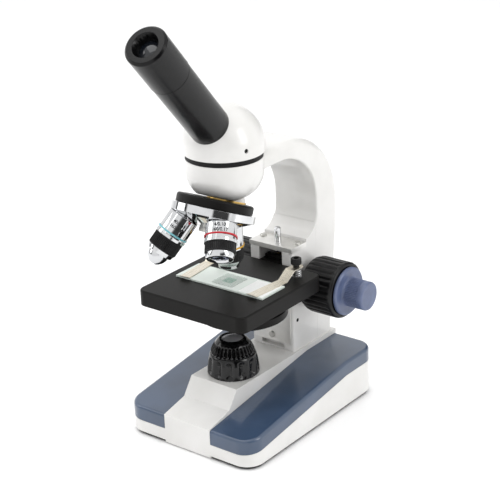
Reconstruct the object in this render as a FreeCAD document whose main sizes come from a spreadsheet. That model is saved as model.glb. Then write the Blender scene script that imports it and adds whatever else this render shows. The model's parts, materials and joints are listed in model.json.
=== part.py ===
import FreeCAD, Part
import os
import re
from math import atan2, cos, pi, radians, sin, sqrt

import Sketcher
from FreeCAD import Placement, Rotation, Vector

# A student's monocular light microscope.
# +X is the user's right, -Y is towards the user and +Z is up. The origin is on the table top, in the
# middle of the microscope's outline. Every piece is drawn about the optical axis, which stands
# axis_ahead in front of the origin. All sizes are millimetres.

SIZES = {
    "axis_ahead": 5.5,
    # base: a ramped casting with a raised spine between two coloured wings
    "base_half": 55,
    "base_front": 52.7,
    "base_back": 97,
    "base_corner": 13,
    "base_rim": 8,
    "wall": 3,
    "floor_gap": 1,
    "plate_thick": 1.6,
    "plate_inset": 1,
    "lip_thick": 4,
    "band_front": 11.2,
    "band_back": 26,
    "ramp_end": 60,
    "wing_front": 22,
    "wing_back": 36.5,
    "wing_round": 2.5,
    "spine_half": 20,
    "spine_wall": 4,
    "tongue_top": 22.5,
    "knee_reach": 31,
    "knee_top": 27.3,
    "deck_reach": 22,
    "deck_top": 39.7,
    "foot_radius": 7,
    "foot_across": 40,
    "foot_ahead": 34,
    "foot_behind": 80,
    "screw_across": 50.5,
    "screw_ahead": 22,
    "screw_behind": 66,
    "screw_radius": 1.5,
    "screw_head": 2.8,
    "screw_length": 9,
    "screw_sunk": 0.1,
    "screw_lip": 0.3,
    "wire_radius": 3,
    # sockets in the back of the base
    "socket_height": 17.5,
    "inlet_across": 8,
    "inlet_radius": 5.5,
    "inlet_flange": 7,
    "inlet_bore": 2.8,
    "inlet_pin": 1,
    "inlet_lip": 0.8,
    "inlet_floor": 2,
    "inlet_pin_in": 1,
    "rocker_across": 8.5,
    "rocker_width": 12.5,
    "rocker_tall": 17.2,
    "rocker_depth": 4.2,
    "rocker_gap": 0.25,
    "rocker_swing": 0.9,
    "rocker_proud": 0.6,
    "rocker_dish": 1.2,
    "rocker_taper": 1.5,
    # lamp
    "lamp_radius": 18.3,
    "lamp_height": 25.6,
    "lamp_wall": 3.5,
    "lens_radius": 7.8,
    "lens_crown": 1.3,
    "lens_recess": 3.4,
    "lens_edge": 0.6,
    "lens_rim": 1.4,
    "lens_step": 1.3,
    "dome_foot": 3,
    "dome_waist": 10.3,
    "dome_shoulder": 14.3,
    "groove_low": 15,
    "groove_high": 16,
    "dome_crown": 20,
    "waist_in": 0.7,
    "shoulder_in": 2,
    "groove_in": 2.9,
    "ridge_in": 2.6,
    "crown_in": 4.4,
    "dome_inner_in": 4,
    "board_radius": 11,
    "board_thick": 1.6,
    "diode_radius": 3,
    "diode_height": 2.4,
    # arm
    "arm_half": 18.5,
    "arm_front": 76,
    "arm_foot": 95.8,
    "arm_waist": 115,
    "arm_waist_back": 104,
    "arm_waist_round": 120,
    "arm_straight": 128,
    "arm_back": 104.7,
    "crown_base": 142,
    "crown_radius": 54.7,
    "throat_top": 185.7,
    "throat_start": 39,
    "throat_radius": 38.7,
    "throat_end": 136.8,
    "throat_foot": 16,
    "arm_round": 6,
    "arm_edge": 1.5,
    "bowl_radius": 26.3,
    "bowl_top": 197.4,
    "bowl_side": 188.4,
    "bowl_curve": 19.6,
    "bowl_mouth": 12.5,
    "bowl_neck": 169.7,
    "bowl_bottom": 161,
    "light_radius": 9,
    # focusing block
    "block_front": 46.5,
    "block_top": 115.5,
    "block_round": 2,
    "cap_back": 64.3,
    "cap_thick": 3.5,
    "channel_half": 10,
    "channel_bottom": 54,
    "channel_back": 72.7,
    "slot_bottom": 41,
    "slot_top": 45.2,
    "slot_depth": 4,
    "cover_half": 16.5,
    "cover_thick": 0.9,
    "cover_top": 74,
    "cover_screw_up": 50,
    "small_screw": 1.5,
    "small_head": 2.5,
    "small_chamfer": 0.5,
    "cap_screw_length": 10,
    "grub_length": 4.4,
    "stop_chamfer": 0.6,
    "stop_slot": 0.7,
    "head_height": 1.2,
    "cap_screw_across": 15,
    "cap_screw_back": 58.3,
    "grub_back": 51.7,
    "grub_up": 63.2,
    "stop_radius": 2.4,
    "stop_back": 55.5,
    "stop_top": 129.3,
    "stop_bottom": 110.5,
    "running_gap": 0.05,
    # focusing drive
    "shaft_back": 66.2,
    "shaft_up": 88.5,
    "bush_radius": 7,
    "bush_flange": 9,
    "bush_gap": 0.5,
    "flange_thick": 1.2,
    "sleeve_radius": 4.2,
    "sleeve_end": 44,
    "pinion_radius": 6,
    "pinion_half": 8,
    "pinion_teeth": 24,
    "tooth_radius": 0.45,
    "shaft_radius": 2.5,
    "shaft_end": 68,
    "coarse_radius": 20.3,
    "coarse_start": 22,
    "coarse_end": 51,
    "coarse_round": 6,
    "coarse_bevel": 1.6,
    "knob_gap": 0.4,
    "flute_lead": 2,
    "flute_count": 28,
    "flute_radius": 1.7,
    "fine_flange": 17.3,
    "fine_start": 51.4,
    "fine_shelf": 53.9,
    "fine_radius": 10.3,
    "fine_chamfer": 0.9,
    "fine_end": 70,
    "slide_half": 9.8,
    "slide_front": 53,
    "slide_back": 57.5,
    "slide_bottom": 64,
    "slide_top": 108,
    "rack_half": 3,
    "rack_back": 60,
    "rack_bottom": 66,
    # stage
    "stage_half": 45.4,
    "stage_front": 44.7,
    "stage_back": 45.2,
    "stage_top": 107,
    "stage_thick": 11.3,
    "stage_corner": 6,
    "stage_edge": 1.2,
    "stage_hole": 9,
    "shelf_half": 16,
    "shelf_reach": 17,
    "shelf_back": 46,
    "shelf_thick": 8,
    "shelf_hole": 8,
    "tongue_half": 9.8,
    "tongue_front": 47,
    "tongue_back": 52.7,
    "tongue_bottom": 70,
    "tongue_up": 106,
    "mount_across": 11,
    "mount_grip": 6,
    "post_root": 6,
    "mount_back": 36,
    # diaphragm disc under the stage
    "disc_radius": 31.2,
    "disc_back": 13.5,
    "disc_bottom": 78.7,
    "disc_top": 84,
    "disc_wall": 2,
    "disc_hub": 5,
    "aperture_count": 5,
    "aperture_largest": 6,
    "aperture_shrink": 0.68,
    "pivot_radius": 2,
    "pivot_head": 4.2,
    "pivot_head_thick": 2.1,
    "disc_gap": 0.3,
    "pivot_grip": 7,
    # specimen and clips
    "glass_length": 75,
    "glass_width": 25,
    "glass_thick": 1.1,
    "clip_across": 33.3,
    "clip_back": 31.7,
    "clip_turn": 5.3,
    "clip_width": 8,
    "clip_flat": 0.5,
    "clip_length": 46,
    "clip_tail": 5,
    "clip_thick": 0.5,
    "clip_gap": 0.1,
    "clip_rise": 6.6,
    "clip_bend_high": 6,
    "clip_bend_low": 14,
    "clip_bend_shift": 0.3,
    "clip_toe": 2,
    "clip_toe_lift": 0.8,
    "post_radius": 1.9,
    "post_top": 119,
    "nut_radius": 3.7,
    "nut_height": 6.5,
    "nut_edge": 0.6,
    "spring_radius": 3.2,
    "spring_wire": 0.5,
    "spring_turns": 4,
    "spring_gap": 0.1,
    "spring_slack": 0.8,
    # rotating head and eyepiece
    "seat_ring": 26,
    "seat_thick": 3.5,
    "head_gap": 0.2,
    "spigot_radius": 22,
    "spigot_bottom": 191,
    "dome_radius": 27.6,
    "dome_middle": 206,
    "cavity_radius": 13,
    "cavity_bottom": 199,
    "cavity_top": 216,
    "tube_middle": 205.5,
    "tube_slope": 45,
    "tube_yaw": 9,
    "tube_radius": 13.6,
    "tube_bore": 11.65,
    "tube_start": 17,
    "tube_end": 88,
    "ocular_radius": 13.9,
    "ocular_barrel": 11.6,
    "ocular_inner": 9.8,
    "ocular_start": 62,
    "ocular_end": 121.5,
    "ocular_edge": 1.5,
    "ocular_gap": 0.1,
    "mouth_depth": 4,
    "eye_lens_depth": 9,
    "eye_lens_thick": 3,
    "stop_depth": 12,
    "field_lens_in": 1.5,
    "field_lens_thick": 2,
    "ocular_mouth": 8.8,
    "eye_lens": 6.5,
    "prism_size": 16,
    "prism_low": 4.8,
    "prism_high": 13.6,
    "pin_turn": 71,
    "pin_up": 207.3,
    "pin_radius": 1.5,
    "pin_inner": 18,
    "pin_outer": 26.4,
    # revolving nosepiece: its axis leans back, and every objective points at the apex
    "nose_tilt": 23,
    "apex_up": 195.5,
    "apex_drop": 33.6,
    "plate_radius": 26,
    "plate_bottom": 0.3,
    "plate_top": 6.2,
    "collar_radius": 13.4,
    "collar_top": 7.4,
    "turret_radius": 28.5,
    "turret_rim": 5,
    "turret_flat": 8,
    "stud_radius": 4,
    "stud_head": 7,
    "stud_thick": 2.4,
    "stud_gap": 0.3,
    "neck_radius": 8.5,
    "neck_length": 3.5,
    # objectives: distances measured down from the apex
    "seat_reach": 46.7,
    "barrel_radius": 10.5,
    "core_radius": 9,
    "grip_radius": 10.3,
    "bore_radius": 4,
    "grip_edge": 0.4,
    "collar_proud": 0.4,
    "lens_back": 2.6,
    "lens_front": 0.6,
    "lens_shoulder": 1.2,
    "lens_bulge": 0.4,
    "low_collar": 57.5,
    "low_grip": 59.5,
    "low_sleeve": 66,
    "low_end": 70,
    "low_face": 8.8,
    "low_lens": 6,
    "low_cone": 1.4,
    "low_lip": 0.5,
    "mid_collar": 60.5,
    "mid_grip": 62.5,
    "mid_sleeve": 71,
    "mid_end": 77.1,
    "mid_face": 6.5,
    "mid_lens": 4.6,
    "mid_lip": 0.7,
    "mid_taper": 1.5,
    "high_collar": 61.5,
    "high_grip": 63.5,
    "high_sleeve": 73,
    "high_face": 76,
    "high_end": 84,
    "high_tip": 7.2,
    "high_nose": 2.8,
    "high_lens": 1.6,
    "tip_travel": 2,
    "tip_curve": 1.3,
    "tip_in": 1.6,
    "tip_ledge": 1.4,
    "ledge_in": 2,
    "high_lens_in": 0.2,
    "high_lens_back": 1.4,
}

PLATE_TOP = "(floor_gap + plate_thick)"
STAGE_BOTTOM = "(stage_top - stage_thick)"
SHELF_BOTTOM = "(stage_top - stage_thick - shelf_thick)"
CAP_TOP = "(block_top + cap_thick)"
GLASS_TOP = "(stage_top + glass_thick)"
RING_TOP = "(bowl_top + seat_thick)"
CONE = "tan(nose_tilt * 1deg)"
EYE_LENS_EDGE = "(ocular_end - eye_lens_depth + eye_lens_thick)"
FIELD_LENS_EDGE = "(ocular_start + field_lens_in + field_lens_thick)"
X_AXIS = Vector(1, 0, 0)
Y_AXIS = Vector(0, 1, 0)
Z_AXIS = Vector(0, 0, 1)

doc = FreeCAD.newDocument("microscope")
nodes = {}


def make_sheet():
    sheet = doc.addObject("Spreadsheet::Sheet", "Sizes")
    for row, (alias, number) in enumerate(SIZES.items(), 1):
        sheet.set(f"A{row}", alias)
        sheet.set(f"B{row}", str(number))
        sheet.setAlias(f"B{row}", alias)
    doc.recompute()
    return sheet


sizes = make_sheet()


def linked(text):
    """The expression with every size name joined to the sheet."""
    return re.sub(r"[a-z]\w*", lambda word: f"Sizes.{word[0]}" if word[0] in SIZES else word[0], str(text))


def size(text):
    """The number that an expression of sizes comes to."""
    return float(sizes.evalExpression(linked(text)))


def spot(across, back, up):
    return Vector(size(across), size(back), size(up))


AHEAD = Placement(spot("0", "-axis_ahead", "0"), Rotation())


# ---- building blocks -------------------------------------------------------------------------


def new_body(name, place=Placement()):
    """A body whose own frame stands at place, which is given about the optical axis."""
    body = doc.addObject("PartDesign::Body", name)
    body.Label = name
    body.Placement = AHEAD * place
    return body


def origin_part(body, role):
    return next(part for part in body.Origin.OriginFeatures if part.Role == role)


def arc_between(start, finish, radius, turn):
    """The short arc from start to finish that turns left or right on its way."""
    chord = finish - start
    middle = (start + finish) * 0.5
    left = Vector(-chord.y, chord.x, 0).normalize()
    side = 1 if turn == "left" else -1
    centre = middle + left * side * sqrt(radius**2 - (chord.Length / 2) ** 2)
    first, last = (start, finish) if turn == "left" else (finish, start)
    begin = atan2(first.y - centre.y, first.x - centre.x)
    end = atan2(last.y - centre.y, last.x - centre.x)
    if end < begin:
        end += 2 * pi
    return Part.ArcOfCircle(Part.Circle(centre, Z_AXIS, radius), begin, end)


def outline(body, name, plane, points, offset="0"):
    """A closed sketch. A point is (across, up), or (across, up, turn, radius) where an arc leaves it."""
    sketch = body.newObject("Sketcher::SketchObject", name)
    sketch.AttachmentSupport = [(origin_part(body, plane), "")]
    sketch.MapMode = "FlatFace"
    sketch.setExpression(".AttachmentOffset.Base.z", linked(offset))
    spots = [spot(point[0], point[1], "0") for point in points]
    shapes = []
    firsts = []
    for index, point in enumerate(points):
        start = spots[index]
        finish = spots[(index + 1) % len(points)]
        if len(point) == 4:
            shapes.append(arc_between(start, finish, size(point[3]), point[2]))
            firsts.append(1 if point[2] == "left" else 2)
        else:
            shapes.append(Part.LineSegment(start, finish))
            firsts.append(1)
    sketch.addGeometry(shapes, False)
    limits = []
    for index, point in enumerate(points):
        follower = (index + 1) % len(points)
        sketch.addConstraint(
            Sketcher.Constraint("Coincident", index, 3 - firsts[index], follower, firsts[follower])
        )
        for kind, text, value in (
            ("DistanceX", point[0], spots[index].x),
            ("DistanceY", point[1], spots[index].y),
        ):
            number = sketch.addConstraint(Sketcher.Constraint(kind, -1, 1, index, firsts[index], value))
            limits.append((number, text))
        if len(point) == 4:
            number = sketch.addConstraint(Sketcher.Constraint("Radius", index, size(point[3])))
            limits.append((number, point[3]))
    for number, text in limits:
        sketch.setExpression(f"Constraints[{number}]", linked(text))
    return sketch


def ring_sketch(body, name, plane, across, up, radius, offset):
    """One circle, placed and sized by expressions."""
    sketch = body.newObject("Sketcher::SketchObject", name)
    sketch.AttachmentSupport = [(origin_part(body, plane), "")]
    sketch.MapMode = "FlatFace"
    sketch.setExpression(".AttachmentOffset.Base.z", linked(offset))
    sketch.addGeometry(Part.Circle(spot(across, up, "0"), Z_AXIS, size(radius)), False)
    sketch.addConstraint(Sketcher.Constraint("DistanceX", -1, 1, 0, 3, size(across)))
    sketch.addConstraint(Sketcher.Constraint("DistanceY", -1, 1, 0, 3, size(up)))
    sketch.addConstraint(Sketcher.Constraint("Radius", 0, size(radius)))
    for number, text in enumerate((across, up, radius)):
        sketch.setExpression(f"Constraints[{number}]", linked(text))
    return sketch


def add_pad(body, name, plane, points, length, both_ways=True, offset="0"):
    sketch = outline(body, name + "_outline", plane, points, offset)
    pad = body.newObject("PartDesign::Pad", name)
    pad.Profile = sketch
    pad.SideType = "Symmetric" if both_ways else "One side"
    pad.setExpression("Length", linked(length))
    return pad


def add_pocket(body, name, plane, points, length, offset="0"):
    """A pocket that reaches the same way to both sides of its plane."""
    sketch = outline(body, name + "_outline", plane, points, offset)
    pocket = body.newObject("PartDesign::Pocket", name)
    pocket.Profile = sketch
    pocket.SideType = "Symmetric"
    pocket.setExpression("Length", linked(length))
    return pocket


def add_turn(body, name, points, kind="PartDesign::Revolution"):
    """Material added or, with a Groove, taken away all round Z; a point is (radius, height)."""
    sketch = outline(body, name + "_outline", "XZ_Plane", points)
    turn = body.newObject(kind, name)
    turn.Profile = sketch
    turn.ReferenceAxis = (sketch, ["V_Axis"])
    turn.Angle = 360
    return turn


def dress(body, kind, name, amount, test):
    """A fillet or chamfer on the edges of the body so far that pass the test."""
    doc.recompute()
    base = body.Tip
    edges = [f"Edge{number}" for number, edge in enumerate(base.Shape.Edges, 1) if test(edge)]
    feature = body.newObject(kind, name)
    feature.Base = (base, edges)
    feature.setExpression("Radius" if kind.endswith("Fillet") else "Size", linked(amount))
    return feature


def fillet(body, name, amount, test):
    return dress(body, "PartDesign::Fillet", name, amount, test)


def flute(body, name, distance, radius, start, length, count):
    """Round-bottomed grooves along Z, repeated about it."""
    sketch = ring_sketch(body, name + "_outline", "XY_Plane", distance, "0", radius, start)
    pocket = body.newObject("PartDesign::Pocket", name)
    pocket.Profile = sketch
    pocket.Reversed = True
    pocket.setExpression("Length", linked(length))
    pattern = body.newObject("PartDesign::PolarPattern", name + "_pattern")
    pattern.Originals = [pocket]
    pattern.Axis = (origin_part(body, "Z_Axis"), [""])
    pattern.Angle = 360
    pattern.setExpression("Occurrences", linked(count))
    body.Tip = pattern
    return pattern


def turned(name, points, place=Placement()):
    """A piece turned about its own Z."""
    body = new_body(name, place)
    add_turn(body, name + "_turn", points)
    return body


def cylinder(name, radius, length, place):
    piece = doc.addObject("Part::Cylinder", name)
    piece.setExpression("Radius", linked(radius))
    piece.setExpression("Height", linked(length))
    piece.Placement = AHEAD * place
    return piece


def box(name, low, high):
    """A box between two corners, each given as three expressions."""
    piece = doc.addObject("Part::Box", name)
    for side, begin, end in zip(("Length", "Width", "Height"), low, high):
        piece.setExpression(side, linked(f"({end}) - ({begin})"))
    for axis, begin, shift in zip("xyz", low, ("0", "axis_ahead", "0")):
        piece.setExpression(f".Placement.Base.{axis}", linked(f"({begin}) - {shift}"))
    return piece


def cut(name, base, tools):
    """The base less every tool."""
    tool = tools[0]
    if len(tools) > 1:
        tool = doc.addObject("Part::MultiFuse", name + "_tools")
        tool.Shapes = tools
    result = doc.addObject("Part::Cut", name)
    result.Label = name
    result.Base = base
    result.Tool = tool
    return result


def group(name, members):
    """Identical separate pieces that share a node."""
    result = doc.addObject("Part::Compound", name)
    result.Label = name
    result.Links = members
    return result


def raised(height):
    return Placement(spot("0", "0", height), Rotation())


def pointing(start, direction):
    """A place at start whose Z looks along direction."""
    return Placement(start, Rotation(Z_AXIS, direction))


def along(axis, edge):
    """True for a straight edge parallel to the axis."""
    return edge.Curve.TypeId == "Part::GeomLine" and abs(edge.tangentAt(edge.FirstParameter).dot(axis)) > 0.999


def middle_of(edge):
    return edge.valueAt((edge.FirstParameter + edge.LastParameter) / 2)


def near(value, goal):
    return abs(value - goal) < 0.01


# ---- places that several pieces share ----------------------------------------------------------

TUBE_PLACE = Placement(
    spot("0", "0", "tube_middle"),
    Rotation(Z_AXIS, size("tube_yaw")) * Rotation(X_AXIS, 90 - size("tube_slope")),
)

tilt = radians(size("nose_tilt"))
NOSE_WAY = Vector(0, sin(tilt), cos(tilt))
APEX = spot("0", "0", "apex_up")
NOSE_PLACE = Placement(APEX - NOSE_WAY * size("apex_drop"), Rotation(X_AXIS, -size("nose_tilt")))

SHAFT_PLACE = Placement(spot("0", "shaft_back", "shaft_up"), Rotation(Y_AXIS, 90))
SHAFT_MIRROR = Placement(spot("0", "shaft_back", "shaft_up"), Rotation(Y_AXIS, -90))

IN_USE = Placement(APEX, Rotation())
FRONT_RIGHT = Placement(APEX, Rotation(NOSE_WAY, -120))
FRONT_LEFT = Placement(APEX, Rotation(NOSE_WAY, 120))


# ---- base --------------------------------------------------------------------------------------


def make_base_screws():
    screws = []
    for across in ("-screw_across", "screw_across"):
        for back in ("-screw_ahead", "screw_behind"):
            screw = turned(
                f"base_screw_{len(screws) + 1}",
                [
                    ("0", "floor_gap + screw_sunk"),
                    ("screw_head", "floor_gap + screw_sunk"),
                    ("screw_radius", f"{PLATE_TOP} - screw_lip"),
                    ("screw_radius", f"{PLATE_TOP} + screw_length"),
                    ("0", f"{PLATE_TOP} + screw_length"),
                ],
                Placement(spot(across, back, "0"), Rotation()),
            )
            screws.append(screw)
    return group("base_screws", screws)


def make_base_casting(screws):
    body = new_body("base_shell")
    back_rim = "base_back - base_rim"
    add_pad(
        body,
        "band",
        "YZ_Plane",
        [
            ("-base_front", PLATE_TOP),
            ("base_back", PLATE_TOP),
            ("base_back", "band_back"),
            ("ramp_end", "band_back"),
            ("-base_front", "band_front"),
        ],
        "base_half * 2",
    )
    fillet(body, "band_corners", "base_corner", lambda edge: along(Z_AXIS, edge))
    add_pad(
        body,
        "spine",
        "YZ_Plane",
        [
            ("-base_front", PLATE_TOP),
            ("base_back", PLATE_TOP),
            ("base_back", "deck_top"),
            ("-deck_reach", "deck_top"),
            ("-knee_reach", "knee_top"),
            ("-base_front", "tongue_top"),
        ],
        "spine_half * 2",
    )
    add_pad(
        body,
        "lip",
        "YZ_Plane",
        [
            ("-base_front", "floor_gap"),
            ("-base_front + lip_thick", "floor_gap"),
            ("-base_front + lip_thick", PLATE_TOP),
            ("-base_front", PLATE_TOP),
        ],
        "spine_half * 2",
    )
    add_pocket(
        body,
        "band_hollow",
        "YZ_Plane",
        [
            ("-base_front + base_rim", PLATE_TOP),
            (back_rim, PLATE_TOP),
            (back_rim, "band_back - wall"),
            ("ramp_end", "band_back - wall"),
            ("-base_front + base_rim", "band_front - wall"),
        ],
        "(base_half - base_rim) * 2",
    )
    add_pocket(
        body,
        "spine_hollow",
        "YZ_Plane",
        [
            ("-deck_reach + base_rim", PLATE_TOP),
            (back_rim, PLATE_TOP),
            (back_rim, "deck_top - wall"),
            ("-deck_reach + base_rim", "deck_top - wall"),
        ],
        "(spine_half - spine_wall) * 2",
    )
    wire_hole = cylinder("wire_hole", "wire_radius", "wall * 2", raised("deck_top - wall * 1.5"))
    inlet_hole = cylinder(
        "inlet_hole",
        "inlet_radius",
        "base_rim + 2",
        pointing(spot("-inlet_across", "base_back - base_rim - 1", "socket_height"), Y_AXIS),
    )
    half_wide = "(rocker_width / 2 + rocker_gap)"
    half_tall = "(rocker_tall / 2 + rocker_swing)"
    rocker_hole = box(
        "rocker_hole",
        (f"rocker_across - {half_wide}", "base_back - base_rim - 1", f"socket_height - {half_tall}"),
        (f"rocker_across + {half_wide}", "base_back + 1", f"socket_height + {half_tall}"),
    )
    nodes["base_casting"] = cut("base_casting", body, [screws, wire_hole, inlet_hole, rocker_hole])


def make_wing(name, start):
    body = new_body(name)
    add_pad(
        body,
        name + "_slab",
        "YZ_Plane",
        [
            ("-base_front", "band_front"),
            ("ramp_end", "band_back"),
            ("base_back", "band_back"),
            ("base_back", "wing_back"),
            ("ramp_end", "wing_back"),
            ("-base_front", "wing_front"),
        ],
        "base_half - spine_half",
        both_ways=False,
        offset=start,
    )
    outer = size("base_half")
    inner = size("spine_half")

    def outer_corner(edge):
        return along(Z_AXIS, edge) and near(abs(edge.Vertexes[0].X), outer)

    def top_rim(edge):
        at = middle_of(edge)
        ramp = (at.y + size("base_front")) / (size("ramp_end") + size("base_front"))
        top = size("wing_front") + (size("wing_back") - size("wing_front")) * min(ramp, 1)
        return near(at.z, top) and not near(abs(at.x), inner) and not along(X_AXIS, edge)

    fillet(body, name + "_corners", "base_corner", outer_corner)
    fillet(body, name + "_rim", "wing_round", top_rim)
    nodes[name] = body


def make_base_plate(screws):
    body = new_body("base_sheet")
    side = "base_half - plate_inset"
    add_pad(
        body,
        "sheet",
        "XY_Plane",
        [
            (f"-({side})", "-base_front + plate_inset"),
            (side, "-base_front + plate_inset"),
            (side, "base_back - plate_inset"),
            (f"-({side})", "base_back - plate_inset"),
        ],
        "plate_thick",
        both_ways=False,
        offset="floor_gap",
    )
    fillet(body, "sheet_corners", "base_corner - plate_inset", lambda edge: along(Z_AXIS, edge))
    notch = box(
        "lip_notch",
        ("-spine_half", "-base_front", "0"),
        ("spine_half", "-base_front + lip_thick", f"{PLATE_TOP} + 1"),
    )
    nodes["base_plate"] = cut("base_plate", body, [screws, notch])


def make_feet():
    feet = []
    for across in ("-foot_across", "foot_across"):
        for back in ("-foot_ahead", "foot_behind"):
            place = Placement(spot(across, back, "0"), Rotation())
            feet.append(cylinder(f"foot_{len(feet) + 1}", "foot_radius", "floor_gap", place))
    nodes["rubber_feet"] = group("rubber_feet", feet)


def make_sockets():
    nodes["power_inlet"] = turned(
        "power_inlet",
        [
            ("0", "-base_rim"),
            ("inlet_radius", "-base_rim"),
            ("inlet_radius", "0"),
            ("inlet_flange", "0"),
            ("inlet_flange", "inlet_lip"),
            ("inlet_bore", "inlet_lip"),
            ("inlet_bore", "-base_rim + inlet_floor"),
            ("inlet_pin", "-base_rim + inlet_floor"),
            ("inlet_pin", "-inlet_pin_in"),
            ("0", "-inlet_pin_in"),
        ],
        pointing(spot("-inlet_across", "base_back", "socket_height"), Y_AXIS),
    )
    pivot = spot("rocker_across", "base_back - rocker_depth + rocker_proud", "socket_height")
    body = new_body("switch_rocker", Placement(pivot, Rotation()))
    add_pad(
        body,
        "rocker",
        "YZ_Plane",
        [
            ("-rocker_depth", "-rocker_tall / 2 + rocker_taper"),
            ("rocker_depth", "-rocker_tall / 2"),
            ("rocker_depth - rocker_dish", "0"),
            ("rocker_depth", "rocker_tall / 2"),
            ("-rocker_depth", "rocker_tall / 2 - rocker_taper"),
        ],
        "rocker_width",
    )
    nodes["switch_rocker"] = body


CROWN_RADIUS = "(lens_radius ^ 2 + lens_crown ^ 2) / (2 * lens_crown)"


def make_lamp():
    place = raised("deck_top")
    nodes["lamp_housing"] = turned(
        "lamp_housing",
        [
            ("lamp_radius - lamp_wall", "0"),
            ("lamp_radius", "0"),
            ("lamp_radius", "dome_foot"),
            ("lamp_radius - waist_in", "dome_waist"),
            ("lamp_radius - shoulder_in", "dome_shoulder"),
            ("lamp_radius - groove_in", "groove_low"),
            ("lamp_radius - ridge_in", "groove_high"),
            ("lamp_radius - crown_in", "dome_crown"),
            ("lens_radius + lens_rim", "lamp_height"),
            ("lens_radius", "lamp_height"),
            ("lens_radius", "lamp_height - lens_recess"),
            ("lens_radius - lens_step", "lamp_height - lens_recess"),
            ("lamp_radius - lamp_wall - dome_inner_in", "groove_high"),
            ("lamp_radius - lamp_wall", "dome_waist"),
        ],
        place,
    )
    nodes["lamp_lens"] = turned(
        "lamp_lens",
        [
            ("0", "lamp_height - lens_recess"),
            ("lens_radius", "lamp_height - lens_recess"),
            ("lens_radius", "lamp_height - lens_edge", "left", CROWN_RADIUS),
            ("0", "lamp_height - lens_edge + lens_crown"),
        ],
        place,
    )
    nodes["lamp_board"] = turned(
        "lamp_board",
        [
            ("0", "0"),
            ("board_radius", "0"),
            ("board_radius", "board_thick"),
            ("diode_radius", "board_thick"),
            ("diode_radius", "board_thick + diode_height"),
            ("0", "board_thick + diode_height"),
        ],
        place,
    )


# ---- arm and focusing block --------------------------------------------------------------------


def foot_arc_height(back):
    """Height of the rounded foot of the throat at a distance back."""
    reach = f"({back} - (throat_start + throat_radius - throat_foot))"
    return f"throat_end - sqrt(throat_foot ^ 2 - {reach} ^ 2)"


def make_arm():
    body = new_body("arm_body")
    half = size("arm_half")
    add_pad(
        body,
        "arm_bow",
        "YZ_Plane",
        [
            ("arm_front", "deck_top"),
            ("arm_foot", "deck_top"),
            ("arm_waist_back", "arm_waist", "left", "arm_waist_round"),
            ("arm_back", "arm_straight"),
            ("arm_back", "crown_base", "left", "crown_radius"),
            ("arm_back - crown_radius", "crown_base + crown_radius"),
            ("0", "crown_base + crown_radius"),
            ("0", "throat_top"),
            ("throat_start", "throat_top", "right", "throat_radius"),
            ("throat_start + throat_radius", "throat_top - throat_radius"),
            ("throat_start + throat_radius", "throat_end", "right", "throat_foot"),
            ("arm_front", foot_arc_height("arm_front")),
        ],
        "arm_half * 2",
    )

    def back_rim(edge):
        at = middle_of(edge)
        outer = at.y > size("arm_foot") - 1 or at.z > size("throat_top") + 5
        return near(abs(at.x), half) and outer and at.z > size("deck_top") + 1 and at.y > 1

    def throat_rim(edge):
        at = middle_of(edge)
        inner = size("arm_front") + 0.1 < at.y < size("arm_foot") - 10 or near(at.z, size("throat_top"))
        return near(abs(at.x), half) and inner and size("throat_end") - 6 < at.z < size("throat_top") + 1

    fillet(body, "arm_back_rim", "arm_round", back_rim)
    fillet(body, "throat_rim", "arm_edge", throat_rim)
    add_turn(
        body,
        "bowl",
        [
            ("0", "bowl_bottom"),
            ("bowl_mouth", "bowl_bottom"),
            ("bowl_mouth", "bowl_neck", "left", "bowl_curve"),
            ("bowl_radius", "bowl_side"),
            ("bowl_radius", "bowl_top"),
            ("0", "bowl_top"),
        ],
    )
    add_turn(
        body,
        "head_seat",
        [
            ("0", "bowl_bottom - 1"),
            ("light_radius", "bowl_bottom - 1"),
            ("light_radius", "spigot_bottom - 1"),
            ("spigot_radius + running_gap", "spigot_bottom - 1"),
            ("spigot_radius + running_gap", "bowl_top + 1"),
            ("0", "bowl_top + 1"),
        ],
        "PartDesign::Groove",
    )
    below = doc.addObject("Part::Box", "below_collar")
    below.Length = 100
    below.Width = 100
    below.Height = 60
    below.Placement = AHEAD * NOSE_PLACE * Placement(Vector(-50, -50, size("collar_top") - 60), Rotation())
    nodes["arm_casting"] = cut("arm_casting", body, [below])


def make_block(screws):
    body = new_body("block_body")
    add_pad(
        body,
        "block",
        "YZ_Plane",
        [
            ("block_front", "deck_top"),
            ("arm_front", "deck_top"),
            ("arm_front", foot_arc_height("arm_front"), "right", "throat_foot"),
            ("cap_back", foot_arc_height("cap_back")),
            ("cap_back", "block_top"),
            ("block_front", "block_top"),
        ],
        "arm_half * 2",
    )

    def front_corner(edge):
        return along(Z_AXIS, edge) and near(middle_of(edge).y, size("block_front"))

    fillet(body, "block_corners", "block_round", front_corner)
    channel = box(
        "channel",
        ("-channel_half", "block_front - 1", "channel_bottom"),
        ("channel_half", "channel_back", "block_top + 1"),
    )
    slot = box(
        "slot",
        ("-channel_half", "block_front - 1", "slot_bottom"),
        ("channel_half", "block_front + slot_depth", "slot_top"),
    )
    bore = cylinder(
        "shaft_bore",
        "bush_radius",
        "arm_half * 2 + 2",
        pointing(spot("-arm_half - 1", "shaft_back", "shaft_up"), X_AXIS),
    )
    nodes["focus_block"] = cut("focus_block", body, [channel, slot, bore, screws])


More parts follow.
